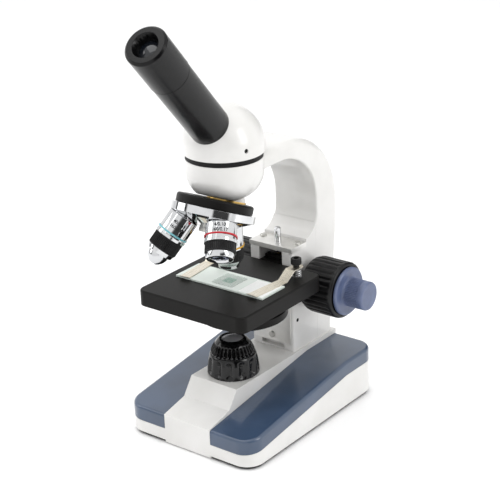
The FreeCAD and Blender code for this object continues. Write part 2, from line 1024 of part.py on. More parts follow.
def make_block_trim(screws):
    plate = box(
        "cap_sheet",
        ("-arm_half", "block_front", "block_top"),
        ("arm_half", "cap_back", CAP_TOP),
    )
    stop_hole = cylinder(
        "stop_hole",
        "stop_radius + running_gap",
        "cap_thick + 2",
        Placement(spot("0", "stop_back", "block_top - 1"), Rotation()),
    )
    nodes["cap_plate"] = cut("cap_plate", plate, [stop_hole, screws])
    cover = box(
        "cover_sheet",
        ("-cover_half", "block_front - cover_thick", "slot_top"),
        ("cover_half", "block_front", "cover_top"),
    )
    nodes["block_cover"] = cut("block_cover", cover, [screws])
    stop = turned(
        "stop_rod",
        [
            ("0", "stop_bottom"),
            ("stop_radius - stop_chamfer", "stop_bottom"),
            ("stop_radius", "stop_bottom + stop_chamfer"),
            ("stop_radius", "stop_top - stop_chamfer"),
            ("stop_radius - stop_chamfer", "stop_top"),
            ("0", "stop_top"),
        ],
        Placement(spot("0", "stop_back", "0"), Rotation()),
    )
    kerf = box(
        "stop_kerf",
        ("-stop_radius", "stop_back - stop_slot / 2", "stop_top - 1"),
        ("stop_radius", "stop_back + stop_slot / 2", "stop_top + 1"),
    )
    nodes["stage_stop_screw"] = cut("stage_stop_screw", stop, [kerf])


def pan_screw(name, place, length):
    """A small screw whose head stands on z = 0 of its place and whose thread goes down."""
    return turned(
        name,
        [
            ("0", f"-({length})"),
            ("small_screw", f"-({length})"),
            ("small_screw", "0"),
            ("small_head", "0"),
            ("small_head", "head_height - small_chamfer"),
            ("small_head - small_chamfer", "head_height"),
            ("0", "head_height"),
        ],
        place,
    )


def make_block_screws():
    screws = [
        pan_screw(
            "cover_screw",
            pointing(spot("0", "block_front - cover_thick", "cover_screw_up"), -Y_AXIS),
            "7",
        )
    ]
    for name, across in (("cap_screw_left", "-cap_screw_across"), ("cap_screw_right", "cap_screw_across")):
        screws.append(pan_screw(name, Placement(spot(across, "cap_screw_back", CAP_TOP), Rotation()), "cap_screw_length"))
    for name, side in (("grub_left", -1), ("grub_right", 1)):
        start = spot(f"{side} * (arm_half - grub_length - 0.1)", "grub_back", "grub_up")
        screws.append(cylinder(name, "small_screw", "grub_length", pointing(start, X_AXIS * side)))
    return group("block_screws", screws)


# ---- focusing drive ----------------------------------------------------------------------------


def make_drive():
    bushes = []
    for name, place in (("bush_right", SHAFT_PLACE), ("bush_left", SHAFT_MIRROR)):
        bushes.append(
            turned(
                name,
                [
                    ("sleeve_radius + running_gap", "channel_half + bush_gap"),
                    ("bush_radius", "channel_half + bush_gap"),
                    ("bush_radius", "arm_half"),
                    ("bush_flange", "arm_half"),
                    ("bush_flange", "arm_half + flange_thick"),
                    ("sleeve_radius + running_gap", "arm_half + flange_thick"),
                ],
                place,
            )
        )
    nodes["shaft_bushes"] = group("shaft_bushes", bushes)
    body = turned(
        "pinion_sleeve",
        [
            ("shaft_radius + running_gap", "-sleeve_end"),
            ("sleeve_radius", "-sleeve_end"),
            ("sleeve_radius", "-pinion_half"),
            ("pinion_radius", "-pinion_half"),
            ("pinion_radius", "pinion_half"),
            ("sleeve_radius", "pinion_half"),
            ("sleeve_radius", "sleeve_end"),
            ("shaft_radius + running_gap", "sleeve_end"),
        ],
        SHAFT_PLACE,
    )
    flute(body, "teeth", "pinion_radius", "tooth_radius", "-pinion_half", "pinion_half * 2", "pinion_teeth")
    nodes["pinion_sleeve"] = body
    nodes["fine_shaft"] = cylinder(
        "fine_shaft",
        "shaft_radius",
        "shaft_end * 2",
        pointing(spot("-shaft_end", "shaft_back", "shaft_up"), X_AXIS),
    )
    nodes["fine_shaft"].Label = "fine_shaft"


def make_coarse_knob(name, place):
    body = turned(
        name,
        [
            ("sleeve_radius", "coarse_start"),
            ("coarse_radius - coarse_round", "coarse_start", "left", "coarse_round"),
            ("coarse_radius", "coarse_start + coarse_round"),
            ("coarse_radius", "coarse_end - coarse_bevel"),
            ("coarse_radius - coarse_bevel", "coarse_end"),
            ("shaft_radius + knob_gap", "coarse_end"),
            ("shaft_radius + knob_gap", "sleeve_end"),
            ("sleeve_radius", "sleeve_end"),
        ],
        place,
    )
    start = "coarse_start + coarse_round - flute_lead"
    length = "coarse_end - coarse_start - coarse_round - coarse_bevel"
    flute(body, name + "_flute", "coarse_radius + 1", "flute_radius", start, length, "flute_count")
    nodes[name] = body


def make_fine_knob(name, place):
    nodes[name] = turned(
        name,
        [
            ("shaft_radius", "fine_start"),
            ("fine_flange", "fine_start"),
            ("fine_flange", "fine_shelf - fine_chamfer"),
            ("fine_flange - fine_chamfer", "fine_shelf"),
            ("fine_radius", "fine_shelf"),
            ("fine_radius", "fine_end - fine_chamfer"),
            ("fine_radius - fine_chamfer", "fine_end"),
            ("0", "fine_end"),
            ("0", "shaft_end"),
            ("shaft_radius", "shaft_end"),
        ],
        place,
    )


def make_slide():
    nodes["coarse_slide"] = box(
        "coarse_slide",
        ("-slide_half", "slide_front", "slide_bottom"),
        ("slide_half", "slide_back", "slide_top"),
    )
    nodes["rack"] = box(
        "rack",
        ("-rack_half", "slide_back", "rack_bottom"),
        ("rack_half", "rack_back", "slide_top"),
    )


# ---- stage -------------------------------------------------------------------------------------


def make_stage_screws():
    screws = []
    for name, across in (("mount_screw_left", "-mount_across"), ("mount_screw_right", "mount_across")):
        place = Placement(spot(across, "mount_back", SHELF_BOTTOM), Rotation(X_AXIS, 180))
        screws.append(pan_screw(name, place, "shelf_thick + mount_grip"))
    return group("stage_screws", screws)


def make_posts():
    posts = []
    for name, across in (("post_left", "-clip_across"), ("post_right", "clip_across")):
        place = Placement(spot(across, "clip_back", "stage_top - post_root"), Rotation())
        posts.append(cylinder(name, "post_radius", "post_top - stage_top + post_root", place))
    return group("clip_posts", posts)


def make_stage_plate(screws, posts):
    body = new_body("stage_slab")
    add_pad(
        body,
        "slab",
        "XY_Plane",
        [
            ("-stage_half", "-stage_front"),
            ("stage_half", "-stage_front"),
            ("stage_half", "stage_back"),
            ("-stage_half", "stage_back"),
        ],
        "stage_thick",
        both_ways=False,
        offset=STAGE_BOTTOM,
    )
    top = size("stage_top")
    fillet(body, "slab_corners", "stage_corner", lambda edge: along(Z_AXIS, edge))
    fillet(body, "slab_edge", "stage_edge", lambda edge: near(middle_of(edge).z, top))
    hole = cylinder("stage_hole_tool", "stage_hole", "stage_thick + 2", raised(f"{STAGE_BOTTOM} - 1"))
    nodes["stage_plate"] = cut("stage_plate", body, [hole, screws, posts])


def make_stage_carrier(screws, pivot):
    body = new_body("carrier_body")
    add_pad(
        body,
        "shelf",
        "YZ_Plane",
        [
            ("-shelf_reach", SHELF_BOTTOM),
            ("shelf_back", SHELF_BOTTOM),
            ("shelf_back", STAGE_BOTTOM),
            ("-shelf_reach", STAGE_BOTTOM),
        ],
        "shelf_half * 2",
    )
    add_pad(
        body,
        "tongue",
        "YZ_Plane",
        [
            ("shelf_back - 1", SHELF_BOTTOM),
            ("tongue_front", SHELF_BOTTOM),
            ("tongue_front", "tongue_bottom"),
            ("tongue_back", "tongue_bottom"),
            ("tongue_back", "tongue_up"),
            ("tongue_front", "tongue_up"),
            ("tongue_front", STAGE_BOTTOM),
            ("shelf_back - 1", STAGE_BOTTOM),
        ],
        "tongue_half * 2",
    )
    boss = cylinder(
        "pivot_boss",
        "disc_hub",
        f"{SHELF_BOTTOM} - disc_top - disc_gap + 1",
        Placement(spot("0", "disc_back", "disc_top + disc_gap"), Rotation()),
    )
    whole = doc.addObject("Part::MultiFuse", "carrier_whole")
    whole.Shapes = [body, boss]
    hole = cylinder("shelf_hole_tool", "shelf_hole", "shelf_thick + 2", raised(f"{SHELF_BOTTOM} - 1"))
    nodes["stage_carrier"] = cut("stage_carrier", whole, [hole, screws, pivot])


def make_pivot_screw():
    return turned(
        "diaphragm_screw",
        [
            ("0", "disc_bottom - disc_gap - pivot_head_thick"),
            ("pivot_head", "disc_bottom - disc_gap - pivot_head_thick"),
            ("pivot_head", "disc_bottom - disc_gap"),
            ("pivot_radius", "disc_bottom - disc_gap"),
            ("pivot_radius", "disc_top + pivot_grip"),
            ("0", "disc_top + pivot_grip"),
        ],
        Placement(spot("0", "disc_back", "0"), Rotation()),
    )


def make_diaphragm():
    dish = turned(
        "disc_dish",
        [
            ("pivot_radius + running_gap", "disc_bottom"),
            ("disc_radius", "disc_bottom"),
            ("disc_radius", "disc_top"),
            ("disc_radius - disc_wall", "disc_top"),
            ("disc_radius - disc_wall", "disc_bottom + disc_wall"),
            ("disc_hub", "disc_bottom + disc_wall"),
            ("disc_hub", "disc_top"),
            ("pivot_radius + running_gap", "disc_top"),
        ],
        Placement(spot("0", "disc_back", "0"), Rotation()),
    )
    holes = []
    count = int(size("aperture_count"))
    for index in range(count):
        around = Rotation(Z_AXIS, 360 / count * index)
        at = spot("0", "disc_back", "disc_bottom - 1") + around.multVec(spot("0", "-disc_back", "0"))
        radius = f"aperture_largest * aperture_shrink ^ {index}"
        holes.append(cylinder(f"aperture_{index + 1}", radius, "disc_wall + 2", Placement(at, Rotation())))
    nodes["disc_diaphragm"] = cut("disc_diaphragm", dish, holes)


def make_specimen():
    nodes["glass_slide"] = box(
        "glass_slide",
        ("-glass_length / 2", "-glass_width / 2", "stage_top"),
        ("glass_length / 2", "glass_width / 2", GLASS_TOP),
    )


def make_clip(side, across, turn):
    """A bent spring strip, round its post at the back and flat on the glass in front, and its nut."""
    place = Placement(spot(across, "clip_back", GLASS_TOP), Rotation(Z_AXIS, size(turn)))
    body = new_body(f"clip_{side}_strip", place)
    low = "clip_gap"
    high = "clip_rise"
    add_pad(
        body,
        f"strip_{side}",
        "YZ_Plane",
        [
            ("clip_tail", high),
            ("clip_tail", f"{high} - clip_thick"),
            ("-clip_bend_high", f"{high} - clip_thick"),
            ("-clip_bend_low", low),
            ("-clip_length + clip_toe", low),
            ("-clip_length", f"{low} + clip_toe_lift"),
            ("-clip_length", f"{low} + clip_toe_lift + clip_thick"),
            ("-clip_length + clip_toe", f"{low} + clip_thick"),
            ("-clip_bend_low - clip_bend_shift", f"{low} + clip_thick"),
            ("-clip_bend_high - clip_bend_shift", high),
        ],
        "clip_width",
    )
    fillet(
        body,
        f"strip_{side}_ends",
        "clip_width / 2 - clip_flat",
        lambda edge: along(Z_AXIS, edge) and abs(middle_of(edge).x) > 1 and middle_of(edge).y > 1,
    )
    hole = cylinder(
        f"clip_{side}_hole",
        "post_radius + running_gap",
        "clip_rise * 2",
        Placement(spot(across, "clip_back", GLASS_TOP), Rotation()),
    )
    nodes[f"clip_{side}"] = cut(f"clip_{side}", body, [hole])
    nut = turned(
        f"clip_nut_{side}",
        [
            ("0", "0"),
            ("nut_radius", "0"),
            ("nut_radius", "nut_height - nut_edge"),
            ("nut_radius - nut_edge", "nut_height"),
            ("0", "nut_height"),
        ],
        Placement(spot(across, "clip_back", f"{GLASS_TOP} + clip_rise"), Rotation()),
    )
    post = cylinder(
        f"nut_{side}_bore",
        "post_radius + running_gap",
        f"post_top - {GLASS_TOP} - clip_rise + nut_edge / 2",
        Placement(spot(across, "clip_back", f"{GLASS_TOP} + clip_rise"), Rotation()),
    )
    nodes[f"clip_nut_{side}"] = cut(f"clip_nut_{side}", nut, [post])


def make_springs():
    """A small coil round each post, under the strip."""
    springs = []
    rise = size(f"{GLASS_TOP} + clip_rise - clip_thick - stage_top - 2 * spring_wire - spring_slack")
    radius = size("spring_radius")
    for name, across, turn in (("spring_left", "-clip_across", 0), ("spring_right", "clip_across", 180)):
        helix = Part.makeHelix(rise / size("spring_turns"), rise, radius)
        section = Part.Wire(Part.makeCircle(size("spring_wire"), Vector(radius, 0, 0), Y_AXIS))
        coil = Part.Wire(helix).makePipeShell([section], True, True)
        spring = doc.addObject("Part::Feature", name)
        spring.Shape = coil
        start = spot(across, "clip_back", "stage_top + spring_wire + spring_gap")
        spring.Placement = AHEAD * Placement(start, Rotation(Z_AXIS, turn))
        springs.append(spring)
    nodes["clip_springs"] = group("clip_springs", springs)


# ---- head --------------------------------------------------------------------------------------


def make_head():
    nodes["head_ring"] = turned(
        "head_ring",
        [
            ("spigot_radius + running_gap", "bowl_top"),
            ("seat_ring", "bowl_top"),
            ("seat_ring", RING_TOP),
            ("spigot_radius + running_gap", RING_TOP),
        ],
    )
    rest = f"({RING_TOP} + head_gap)"
    dome = turned(
        "dome_body",
        [
            ("light_radius", "spigot_bottom"),
            ("spigot_radius", "spigot_bottom"),
            ("spigot_radius", rest),
            (f"sqrt(dome_radius ^ 2 - (dome_middle - {rest}) ^ 2)", rest, "left", "dome_radius"),
            ("0", "dome_middle + dome_radius"),
            ("0", "cavity_top"),
            ("cavity_radius", "cavity_top"),
            ("cavity_radius", "cavity_bottom"),
            ("light_radius", "cavity_bottom"),
        ],
    )
    tube_hole = cylinder(
        "tube_hole",
        "tube_radius",
        "tube_start + dome_radius",
        TUBE_PLACE * Placement(spot("0", "0", "tube_start"), Rotation()),
    )
    light_hole = cylinder("light_hole", "light_radius", "tube_start + 1", TUBE_PLACE)
    way = Rotation(Z_AXIS, size("pin_turn")).multVec(-Y_AXIS)
    pin_start = spot("0", "0", "pin_up") + way * size("pin_inner")
    pin_hole = cylinder("pin_hole", "pin_radius", "dome_radius", pointing(pin_start, way))
    nodes["head_dome"] = cut("head_dome", dome, [tube_hole, light_hole, pin_hole])
    nodes["head_set_screw"] = cylinder(
        "head_set_screw", "pin_radius", "pin_outer - pin_inner", pointing(pin_start, way)
    )
    nodes["head_set_screw"].Label = "head_set_screw"
    stand = Placement(spot("0", "0", "cavity_bottom"), Rotation(Z_AXIS, size("tube_yaw")))
    prism = new_body("prism", stand)
    add_pad(
        prism,
        "prism_block",
        "YZ_Plane",
        [
            ("-prism_size / 2", "0"),
            ("prism_size / 2", "0"),
            ("prism_size / 2", "prism_low"),
            ("0", "prism_high"),
            ("-prism_size / 2", "prism_high"),
        ],
        "prism_size",
    )
    nodes["prism"] = prism


def make_eyepiece():
    nodes["eyepiece_tube"] = turned(
        "eyepiece_tube",
        [
            ("tube_bore", "tube_start"),
            ("tube_radius", "tube_start"),
            ("tube_radius", "tube_end"),
            ("tube_bore", "tube_end"),
        ],
        TUBE_PLACE,
    )
    nodes["eyepiece_barrel"] = turned(
        "eyepiece_barrel",
        [
            ("ocular_inner", "ocular_start"),
            ("ocular_barrel", "ocular_start"),
            ("ocular_barrel", "tube_end + ocular_gap"),
            ("ocular_radius", "tube_end + ocular_gap"),
            ("ocular_radius", "ocular_end - ocular_edge"),
            ("ocular_radius - ocular_edge", "ocular_end"),
            ("ocular_mouth", "ocular_end"),
            ("eye_lens", "ocular_end - mouth_depth"),
            ("eye_lens", "ocular_end - eye_lens_depth"),
            ("ocular_inner", "ocular_end - stop_depth"),
        ],
        TUBE_PLACE,
    )
    nodes["eye_lens"] = turned(
        "eye_lens",
        [
            ("0", "ocular_end - eye_lens_depth"),
            ("eye_lens", "ocular_end - eye_lens_depth"),
            ("eye_lens", EYE_LENS_EDGE, "left", "eye_lens * 2"),
            ("0", f"{EYE_LENS_EDGE} + eye_lens * (2 - sqrt(3))"),
        ],
        TUBE_PLACE,
    )
    nodes["field_lens"] = turned(
        "field_lens",
        [
            ("0", "ocular_start + field_lens_in"),
            ("ocular_inner", "ocular_start + field_lens_in"),
            ("ocular_inner", FIELD_LENS_EDGE, "left", "ocular_inner * 2"),
            ("0", f"{FIELD_LENS_EDGE} + ocular_inner * (2 - sqrt(3))"),
        ],
        TUBE_PLACE,
    )


# ---- nosepiece and objectives ------------------------------------------------------------------


def make_stud():
    stud = turned(
        "turret_screw",
        [
            ("0", f"-turret_rim - (turret_radius - turret_flat) * {CONE} - stud_gap - stud_thick"),
            ("stud_head", f"-turret_rim - (turret_radius - turret_flat) * {CONE} - stud_gap - stud_thick"),
            ("stud_head", f"-turret_rim - (turret_radius - turret_flat) * {CONE} - stud_gap"),
            ("stud_radius", f"-turret_rim - (turret_radius - turret_flat) * {CONE} - stud_gap"),
            ("stud_radius", "plate_top - 1"),
            ("0", "plate_top - 1"),
        ],
        NOSE_PLACE,
    )
    nodes["turret_screw"] = stud
    return stud


def make_nosepiece(stud):
    plate = turned(
        "plate_disc",
        [
            ("0", "plate_bottom"),
            ("plate_radius", "plate_bottom"),
            ("plate_radius", "plate_top - 1"),
            ("plate_radius - 1", "plate_top"),
            ("0", "plate_top"),
        ],
        NOSE_PLACE,
    )
    light = cylinder("nose_light", "light_radius - 1", "60", raised("bowl_bottom - 20"))
    nodes["nosepiece_plate"] = cut("nosepiece_plate", plate, [stud, light])
    collar_foot = NOSE_PLACE.Base + NOSE_WAY * size("plate_top")
    foot_up = collar_foot.z + collar_foot.y * size(CONE)
    nodes["neck_collar"] = turned(
        "neck_collar",
        [
            ("light_radius + 1", "0"),
            ("collar_radius", "0"),
            ("collar_radius", "collar_top - plate_top"),
            ("light_radius + 1", "collar_top - plate_top"),
        ],
        Placement(Vector(0, 0, foot_up), NOSE_PLACE.Rotation),
    )
    turret = turned(
        "turret_disc",
        [
            ("stud_radius + running_gap", "0"),
            ("turret_radius", "0"),
            ("turret_radius", "-turret_rim"),
            ("turret_flat", f"-turret_rim - (turret_radius - turret_flat) * {CONE}"),
            ("stud_radius + running_gap", f"-turret_rim - (turret_radius - turret_flat) * {CONE}"),
        ],
        NOSE_PLACE,
    )
    ports = []
    for number, place in enumerate((IN_USE, FRONT_RIGHT, FRONT_LEFT), 1):
        start = place * Placement(spot("0", "0", "-seat_reach - 2"), Rotation())
        ports.append(cylinder(f"port_{number}", "neck_radius", "40", start))
    nodes["turret"] = cut("turret", turret, ports)


def barrel(name, points, place):
    """An objective's metal body: its neck in the turret, its flank down to the collar, its nose."""
    top = [
        ("bore_radius", "-seat_reach + neck_length"),
        ("neck_radius", "-seat_reach + neck_length"),
        ("neck_radius", "-seat_reach"),
        ("barrel_radius", "-seat_reach"),
    ]
    outside = [point for point in reversed(top)]
    nodes[name] = turned(name, points + outside, place)


def grip(name, start, end, place):
    nodes[name] = turned(
        name,
        [
            ("core_radius", f"-{end}"),
            ("grip_radius - grip_edge", f"-{end}"),
            ("grip_radius", f"-{end} + grip_edge"),
            ("grip_radius", f"-{start}"),
            ("core_radius", f"-{start}"),
        ],
        place,
    )


def front_lens(name, radius, end, place):
    nodes[name] = turned(
        name,
        [
            ("0", f"-{end} + lens_front - {radius} * (2 - sqrt(3)) * lens_bulge"),
            (radius, f"-{end} + lens_shoulder"),
            (radius, f"-{end} + lens_back"),
            ("0", f"-{end} + lens_back"),
        ],
        place,
    )


def make_low_power():
    barrel(
        "objective_4x_barrel",
        [
            ("bore_radius", "-low_end + lens_back"),
            ("low_lens", "-low_end + lens_back"),
            ("low_lens", "-low_end + 1"),
            ("low_lens + low_cone", "-low_end"),
            ("low_face", "-low_end"),
            ("low_face + low_lip", "-low_end + 1"),
            ("low_face + low_lip", "-low_sleeve"),
            ("core_radius", "-low_sleeve"),
            ("core_radius", "-low_grip"),
            ("barrel_radius + collar_proud", "-low_grip"),
            ("barrel_radius + collar_proud", "-low_collar"),
            ("barrel_radius", "-low_collar"),
        ],
        FRONT_RIGHT,
    )
    grip("objective_4x_grip", "low_grip", "low_sleeve", FRONT_RIGHT)
    front_lens("objective_4x_lens", "low_lens", "low_end", FRONT_RIGHT)


def make_mid_power():
    barrel(
        "objective_10x_barrel",
        [
            ("bore_radius", "-mid_end + lens_back"),
            ("mid_lens", "-mid_end + lens_back"),
            ("mid_lens", "-mid_end + lens_front"),
            ("mid_face", "-mid_end"),
            ("mid_face + mid_lip", "-mid_end + mid_lip"),
            ("mid_face + mid_lip", "-mid_end + lens_back"),
            ("core_radius", "-mid_sleeve - mid_taper"),
            ("grip_radius - grip_edge", "-mid_sleeve"),
            ("core_radius", "-mid_sleeve"),
            ("core_radius", "-mid_grip"),
            ("barrel_radius + collar_proud", "-mid_grip"),
            ("barrel_radius + collar_proud", "-mid_collar"),
            ("barrel_radius", "-mid_collar"),
        ],
        IN_USE,
    )
    grip("objective_10x_grip", "mid_grip", "mid_sleeve", IN_USE)
    front_lens("objective_10x_lens", "mid_lens", "mid_end", IN_USE)


def make_high_power():
    barrel(
        "objective_40x_barrel",
        [
            ("high_tip + running_gap - tip_ledge", "-high_sleeve + ledge_in"),
            ("high_tip + running_gap", "-high_sleeve + ledge_in"),
            ("high_tip + running_gap", "-high_face"),
            ("core_radius", "-high_face"),
            ("grip_radius - grip_edge", "-high_sleeve"),
            ("core_radius", "-high_sleeve"),
            ("core_radius", "-high_grip"),
            ("barrel_radius + collar_proud", "-high_grip"),
            ("barrel_radius + collar_proud", "-high_collar"),
            ("barrel_radius", "-high_collar"),
        ],
        FRONT_LEFT,
    )
    grip("objective_40x_grip", "high_grip", "high_sleeve", FRONT_LEFT)
    nodes["objective_40x_tip"] = turned(
        "objective_40x_tip",
        [
            ("high_lens", "-high_end + high_lens_back"),
            ("high_lens", "-high_end"),
            ("high_nose", "-high_end", "left", "high_tip * tip_curve"),
            ("high_tip", "-high_face - 1"),
            ("high_tip", "-high_sleeve - tip_travel + tip_in"),
            ("bore_radius", "-high_sleeve - tip_travel + tip_in"),
            ("bore_radius", "-high_face"),
        ],
        FRONT_LEFT,
    )
    nodes["objective_40x_lens"] = turned(
        "objective_40x_lens",
        [
            ("0", "-high_end + high_lens_in"),
            ("high_lens", "-high_end + high_lens_in"),
            ("high_lens", "-high_end + high_lens_back"),
            ("0", "-high_end + high_lens_back"),
        ],
        FRONT_LEFT,
    )


# ---- the whole microscope ----------------------------------------------------------------------


def build():
    base_screws = make_base_screws()
    nodes["base_screws"] = base_screws
    make_base_casting(base_screws)
    make_wing("wing_right", "spine_half")
    make_wing("wing_left", "-base_half")
    make_base_plate(base_screws)
    make_feet()
    make_sockets()
    make_lamp()
    make_arm()
    block_screws = make_block_screws()
    nodes["block_screws"] = block_screws
    make_block(block_screws)
    make_block_trim(block_screws)
    make_drive()
    make_coarse_knob("coarse_knob_right", SHAFT_PLACE)
    make_coarse_knob("coarse_knob_left", SHAFT_MIRROR)
    make_fine_knob("fine_knob_right", SHAFT_PLACE)
    make_fine_knob("fine_knob_left", SHAFT_MIRROR)
    make_slide()
    stage_screws = make_stage_screws()
    nodes["stage_screws"] = stage_screws
    posts = make_posts()
    nodes["clip_posts"] = posts
    pivot = make_pivot_screw()
    nodes["diaphragm_screw"] = pivot
    make_stage_plate(stage_screws, posts)
    make_stage_carrier(stage_screws, pivot)
    make_diaphragm()
    make_specimen()
    make_clip("right", "clip_across", "-clip_turn")
    make_clip("left", "-clip_across", "clip_turn")
    make_springs()
    make_head()
    make_eyepiece()
    make_nosepiece(make_stud())
    make_low_power()
    make_mid_power()
    make_high_power()
    doc.recompute()


def check():
    for item in doc.Objects:
        for state in ("Invalid", "Error"):
            if state in item.State:
                raise RuntimeError(f"{item.Name} is {state}")
    for name, item in nodes.items():
        if item.Shape.isNull() or not item.Shape.isValid():
            raise RuntimeError(f"{name} has no valid shape")


def export():
    os.makedirs("parts", exist_ok=True)
    for name, item in nodes.items():
        item.Shape.exportStep(f"parts/{name}.step")
    print(f"{len(nodes)} parts written")


build()
check()
export()
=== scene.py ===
# %% [markdown]
# # A student's microscope
# A white cast stand with slate coloured wings carries a black stage, three chrome objectives, an
# inclined black tube and a lamp. The engineering model gives every piece its place and size. Most
# of its pieces keep their shape and only need softened edges and a finish; the moulded, knurled and
# fluted ones are made again here, where their ribs can be real geometry.

# %% The frame and its measures
import json
from math import atan2, cos, pi, radians, sin

import bmesh
import bpy
from mathutils import Matrix, Vector

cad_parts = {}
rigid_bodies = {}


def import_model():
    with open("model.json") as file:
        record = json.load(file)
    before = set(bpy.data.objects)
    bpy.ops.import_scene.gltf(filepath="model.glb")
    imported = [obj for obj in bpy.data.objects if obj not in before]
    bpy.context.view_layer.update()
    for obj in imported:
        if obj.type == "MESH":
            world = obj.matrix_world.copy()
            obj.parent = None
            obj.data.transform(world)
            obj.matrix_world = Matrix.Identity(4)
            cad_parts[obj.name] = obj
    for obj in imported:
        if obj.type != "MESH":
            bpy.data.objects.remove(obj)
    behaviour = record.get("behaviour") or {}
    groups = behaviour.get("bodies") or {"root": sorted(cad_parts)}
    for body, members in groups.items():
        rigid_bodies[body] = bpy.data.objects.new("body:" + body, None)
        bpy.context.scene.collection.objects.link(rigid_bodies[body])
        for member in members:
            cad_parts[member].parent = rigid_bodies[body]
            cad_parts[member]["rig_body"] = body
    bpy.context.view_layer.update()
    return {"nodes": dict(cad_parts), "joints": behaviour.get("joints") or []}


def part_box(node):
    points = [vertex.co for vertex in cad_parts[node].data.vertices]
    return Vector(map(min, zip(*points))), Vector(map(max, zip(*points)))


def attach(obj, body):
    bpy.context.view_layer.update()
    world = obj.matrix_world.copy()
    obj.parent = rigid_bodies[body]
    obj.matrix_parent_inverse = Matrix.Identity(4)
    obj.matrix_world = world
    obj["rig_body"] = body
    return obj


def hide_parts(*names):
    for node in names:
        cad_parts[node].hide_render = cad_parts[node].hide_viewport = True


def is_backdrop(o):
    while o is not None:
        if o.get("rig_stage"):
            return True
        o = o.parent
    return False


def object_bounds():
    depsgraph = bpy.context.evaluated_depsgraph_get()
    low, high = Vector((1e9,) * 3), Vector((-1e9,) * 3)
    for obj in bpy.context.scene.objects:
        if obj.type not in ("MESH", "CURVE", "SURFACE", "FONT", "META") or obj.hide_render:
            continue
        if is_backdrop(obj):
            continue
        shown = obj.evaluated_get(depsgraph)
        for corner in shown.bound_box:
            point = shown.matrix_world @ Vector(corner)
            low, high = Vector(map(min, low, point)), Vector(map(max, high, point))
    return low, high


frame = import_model()
nodes = frame["nodes"]
joints = {joint["name"]: joint for joint in frame["joints"]}
MM = 0.001
Z = Vector((0, 0, 1))
AXIS = Vector((0, joints["head_turn"]["pos_m"][1], 0))


# %% [markdown]
# ## Materials
# Each finish is a small node tree on the Principled shader. One function turns a paint maker's hex
# colour into the linear light that Blender works in, and one adds a node with its links. Patterns
# read the Object coordinates, which are metres here, so a size in millimetres sets their scale.

# %% Node helpers
def linear(code):
    """A linear colour from an sRGB hex value."""
    channels = [int(code[i:i + 2], 16) / 255 for i in (1, 3, 5)]
    return [c / 12.92 if c <= 0.04045 else ((c + 0.055) / 1.055) ** 2.4 for c in channels] + [1.0]


def add(tree, kind, inputs=None, **settings):
    """A new node: settings are its properties, inputs its sockets, each a value or an output."""
    node = tree.nodes.new(kind)
    for name, value in settings.items():
        setattr(node, name, value)
    for name, value in (inputs or {}).items():
        if isinstance(value, bpy.types.NodeSocket):
            tree.links.new(value, node.inputs[name])
        else:
            node.inputs[name].default_value = value
    return node


def start(name, colour, roughness, **values):
    """A material that is only its shader. Further sockets are given with _ for each space."""
    material = bpy.data.materials.new(name)
    material.use_nodes = True
    shader = material.node_tree.nodes["Principled BSDF"]
    shader.inputs["Base Color"].default_value = linear(colour)
    shader.inputs["Roughness"].default_value = roughness
    for socket, value in values.items():
        shader.inputs[socket.replace("_", " ")].default_value = value
    return material


def grain(material, size, stretch=(1, 1, 1), detail=3):
    """Noise whose lumps are about size millimetres across, drawn out by stretch."""
    tree = material.node_tree
    place = add(tree, "ShaderNodeTexCoord")
    scale = [1 / (size * MM * s) for s in stretch]
    mapping = add(tree, "ShaderNodeMapping", {"Vector": place.outputs["Object"], "Scale": scale})
    sizes = {"Vector": mapping.outputs[0], "Scale": 1.0, "Detail": detail}
    return add(tree, "ShaderNodeTexNoise", sizes).outputs["Fac"]


def tint(material, pattern, first, second, low=0.35, high=0.65):
    """Colour that goes from first to second as the pattern goes from low to high."""
    tree = material.node_tree
    ramp = add(tree, "ShaderNodeValToRGB", {"Fac": pattern})
    ramp.color_ramp.elements[0].position = low
    ramp.color_ramp.elements[0].color = linear(first)
    ramp.color_ramp.elements[1].position = high
    ramp.color_ramp.elements[1].color = linear(second)
    tree.links.new(ramp.outputs["Color"], tree.nodes["Principled BSDF"].inputs["Base Color"])


def vary(material, pattern, low, high):
    """Roughness that wanders between low and high."""
    tree = material.node_tree
    spread = add(tree, "ShaderNodeMapRange", {"Value": pattern, "From Min": 0.3, "From Max": 0.7,
                                              "To Min": low, "To Max": high})
    tree.links.new(spread.outputs["Result"], tree.nodes["Principled BSDF"].inputs["Roughness"])


def emboss(material, pattern, depth):
    """Relief of about depth millimetres."""
    tree = material.node_tree
    bump = add(tree, "ShaderNodeBump", {"Height": pattern, "Distance": depth * MM, "Strength": 1.0})
    tree.links.new(bump.outputs["Normal"], tree.nodes["Principled BSDF"].inputs["Normal"])


print("node helpers ready")


# %% [markdown]
# ### Paints
# The castings are sprayed with stoving enamel: a gloss skin with a faint orange peel a millimetre
# or two across. The stage and the plates wear a dry black paint whose fine grit breaks up the
# light, which is why they look dark grey along their tops.

# %% Paint materials
def enamel(name, first, second, coat):
    material = start(name, first, 0.34, Coat_Weight=coat, Coat_Roughness=0.1, Coat_IOR=1.5)
    tint(material, grain(material, 30), first, second)
    emboss(material, grain(material, 1.6, detail=1), 0.012)
    return material


white_enamel = enamel("white_stoving_enamel", "#dad9d6", "#e2e1df", 0.6)
slate_enamel = enamel("slate_stoving_enamel", "#2f4159", "#384b66", 0.7)


def dry_paint(name, first, second, rough, gloss=0.2):
    material = start(name, first, rough, Specular_IOR_Level=gloss)
    grit = grain(material, 0.45, detail=4)
    tint(material, grit, first, second)
    vary(material, grit, rough - 0.06, rough + 0.08)
    emboss(material, grit, 0.02)
    return material


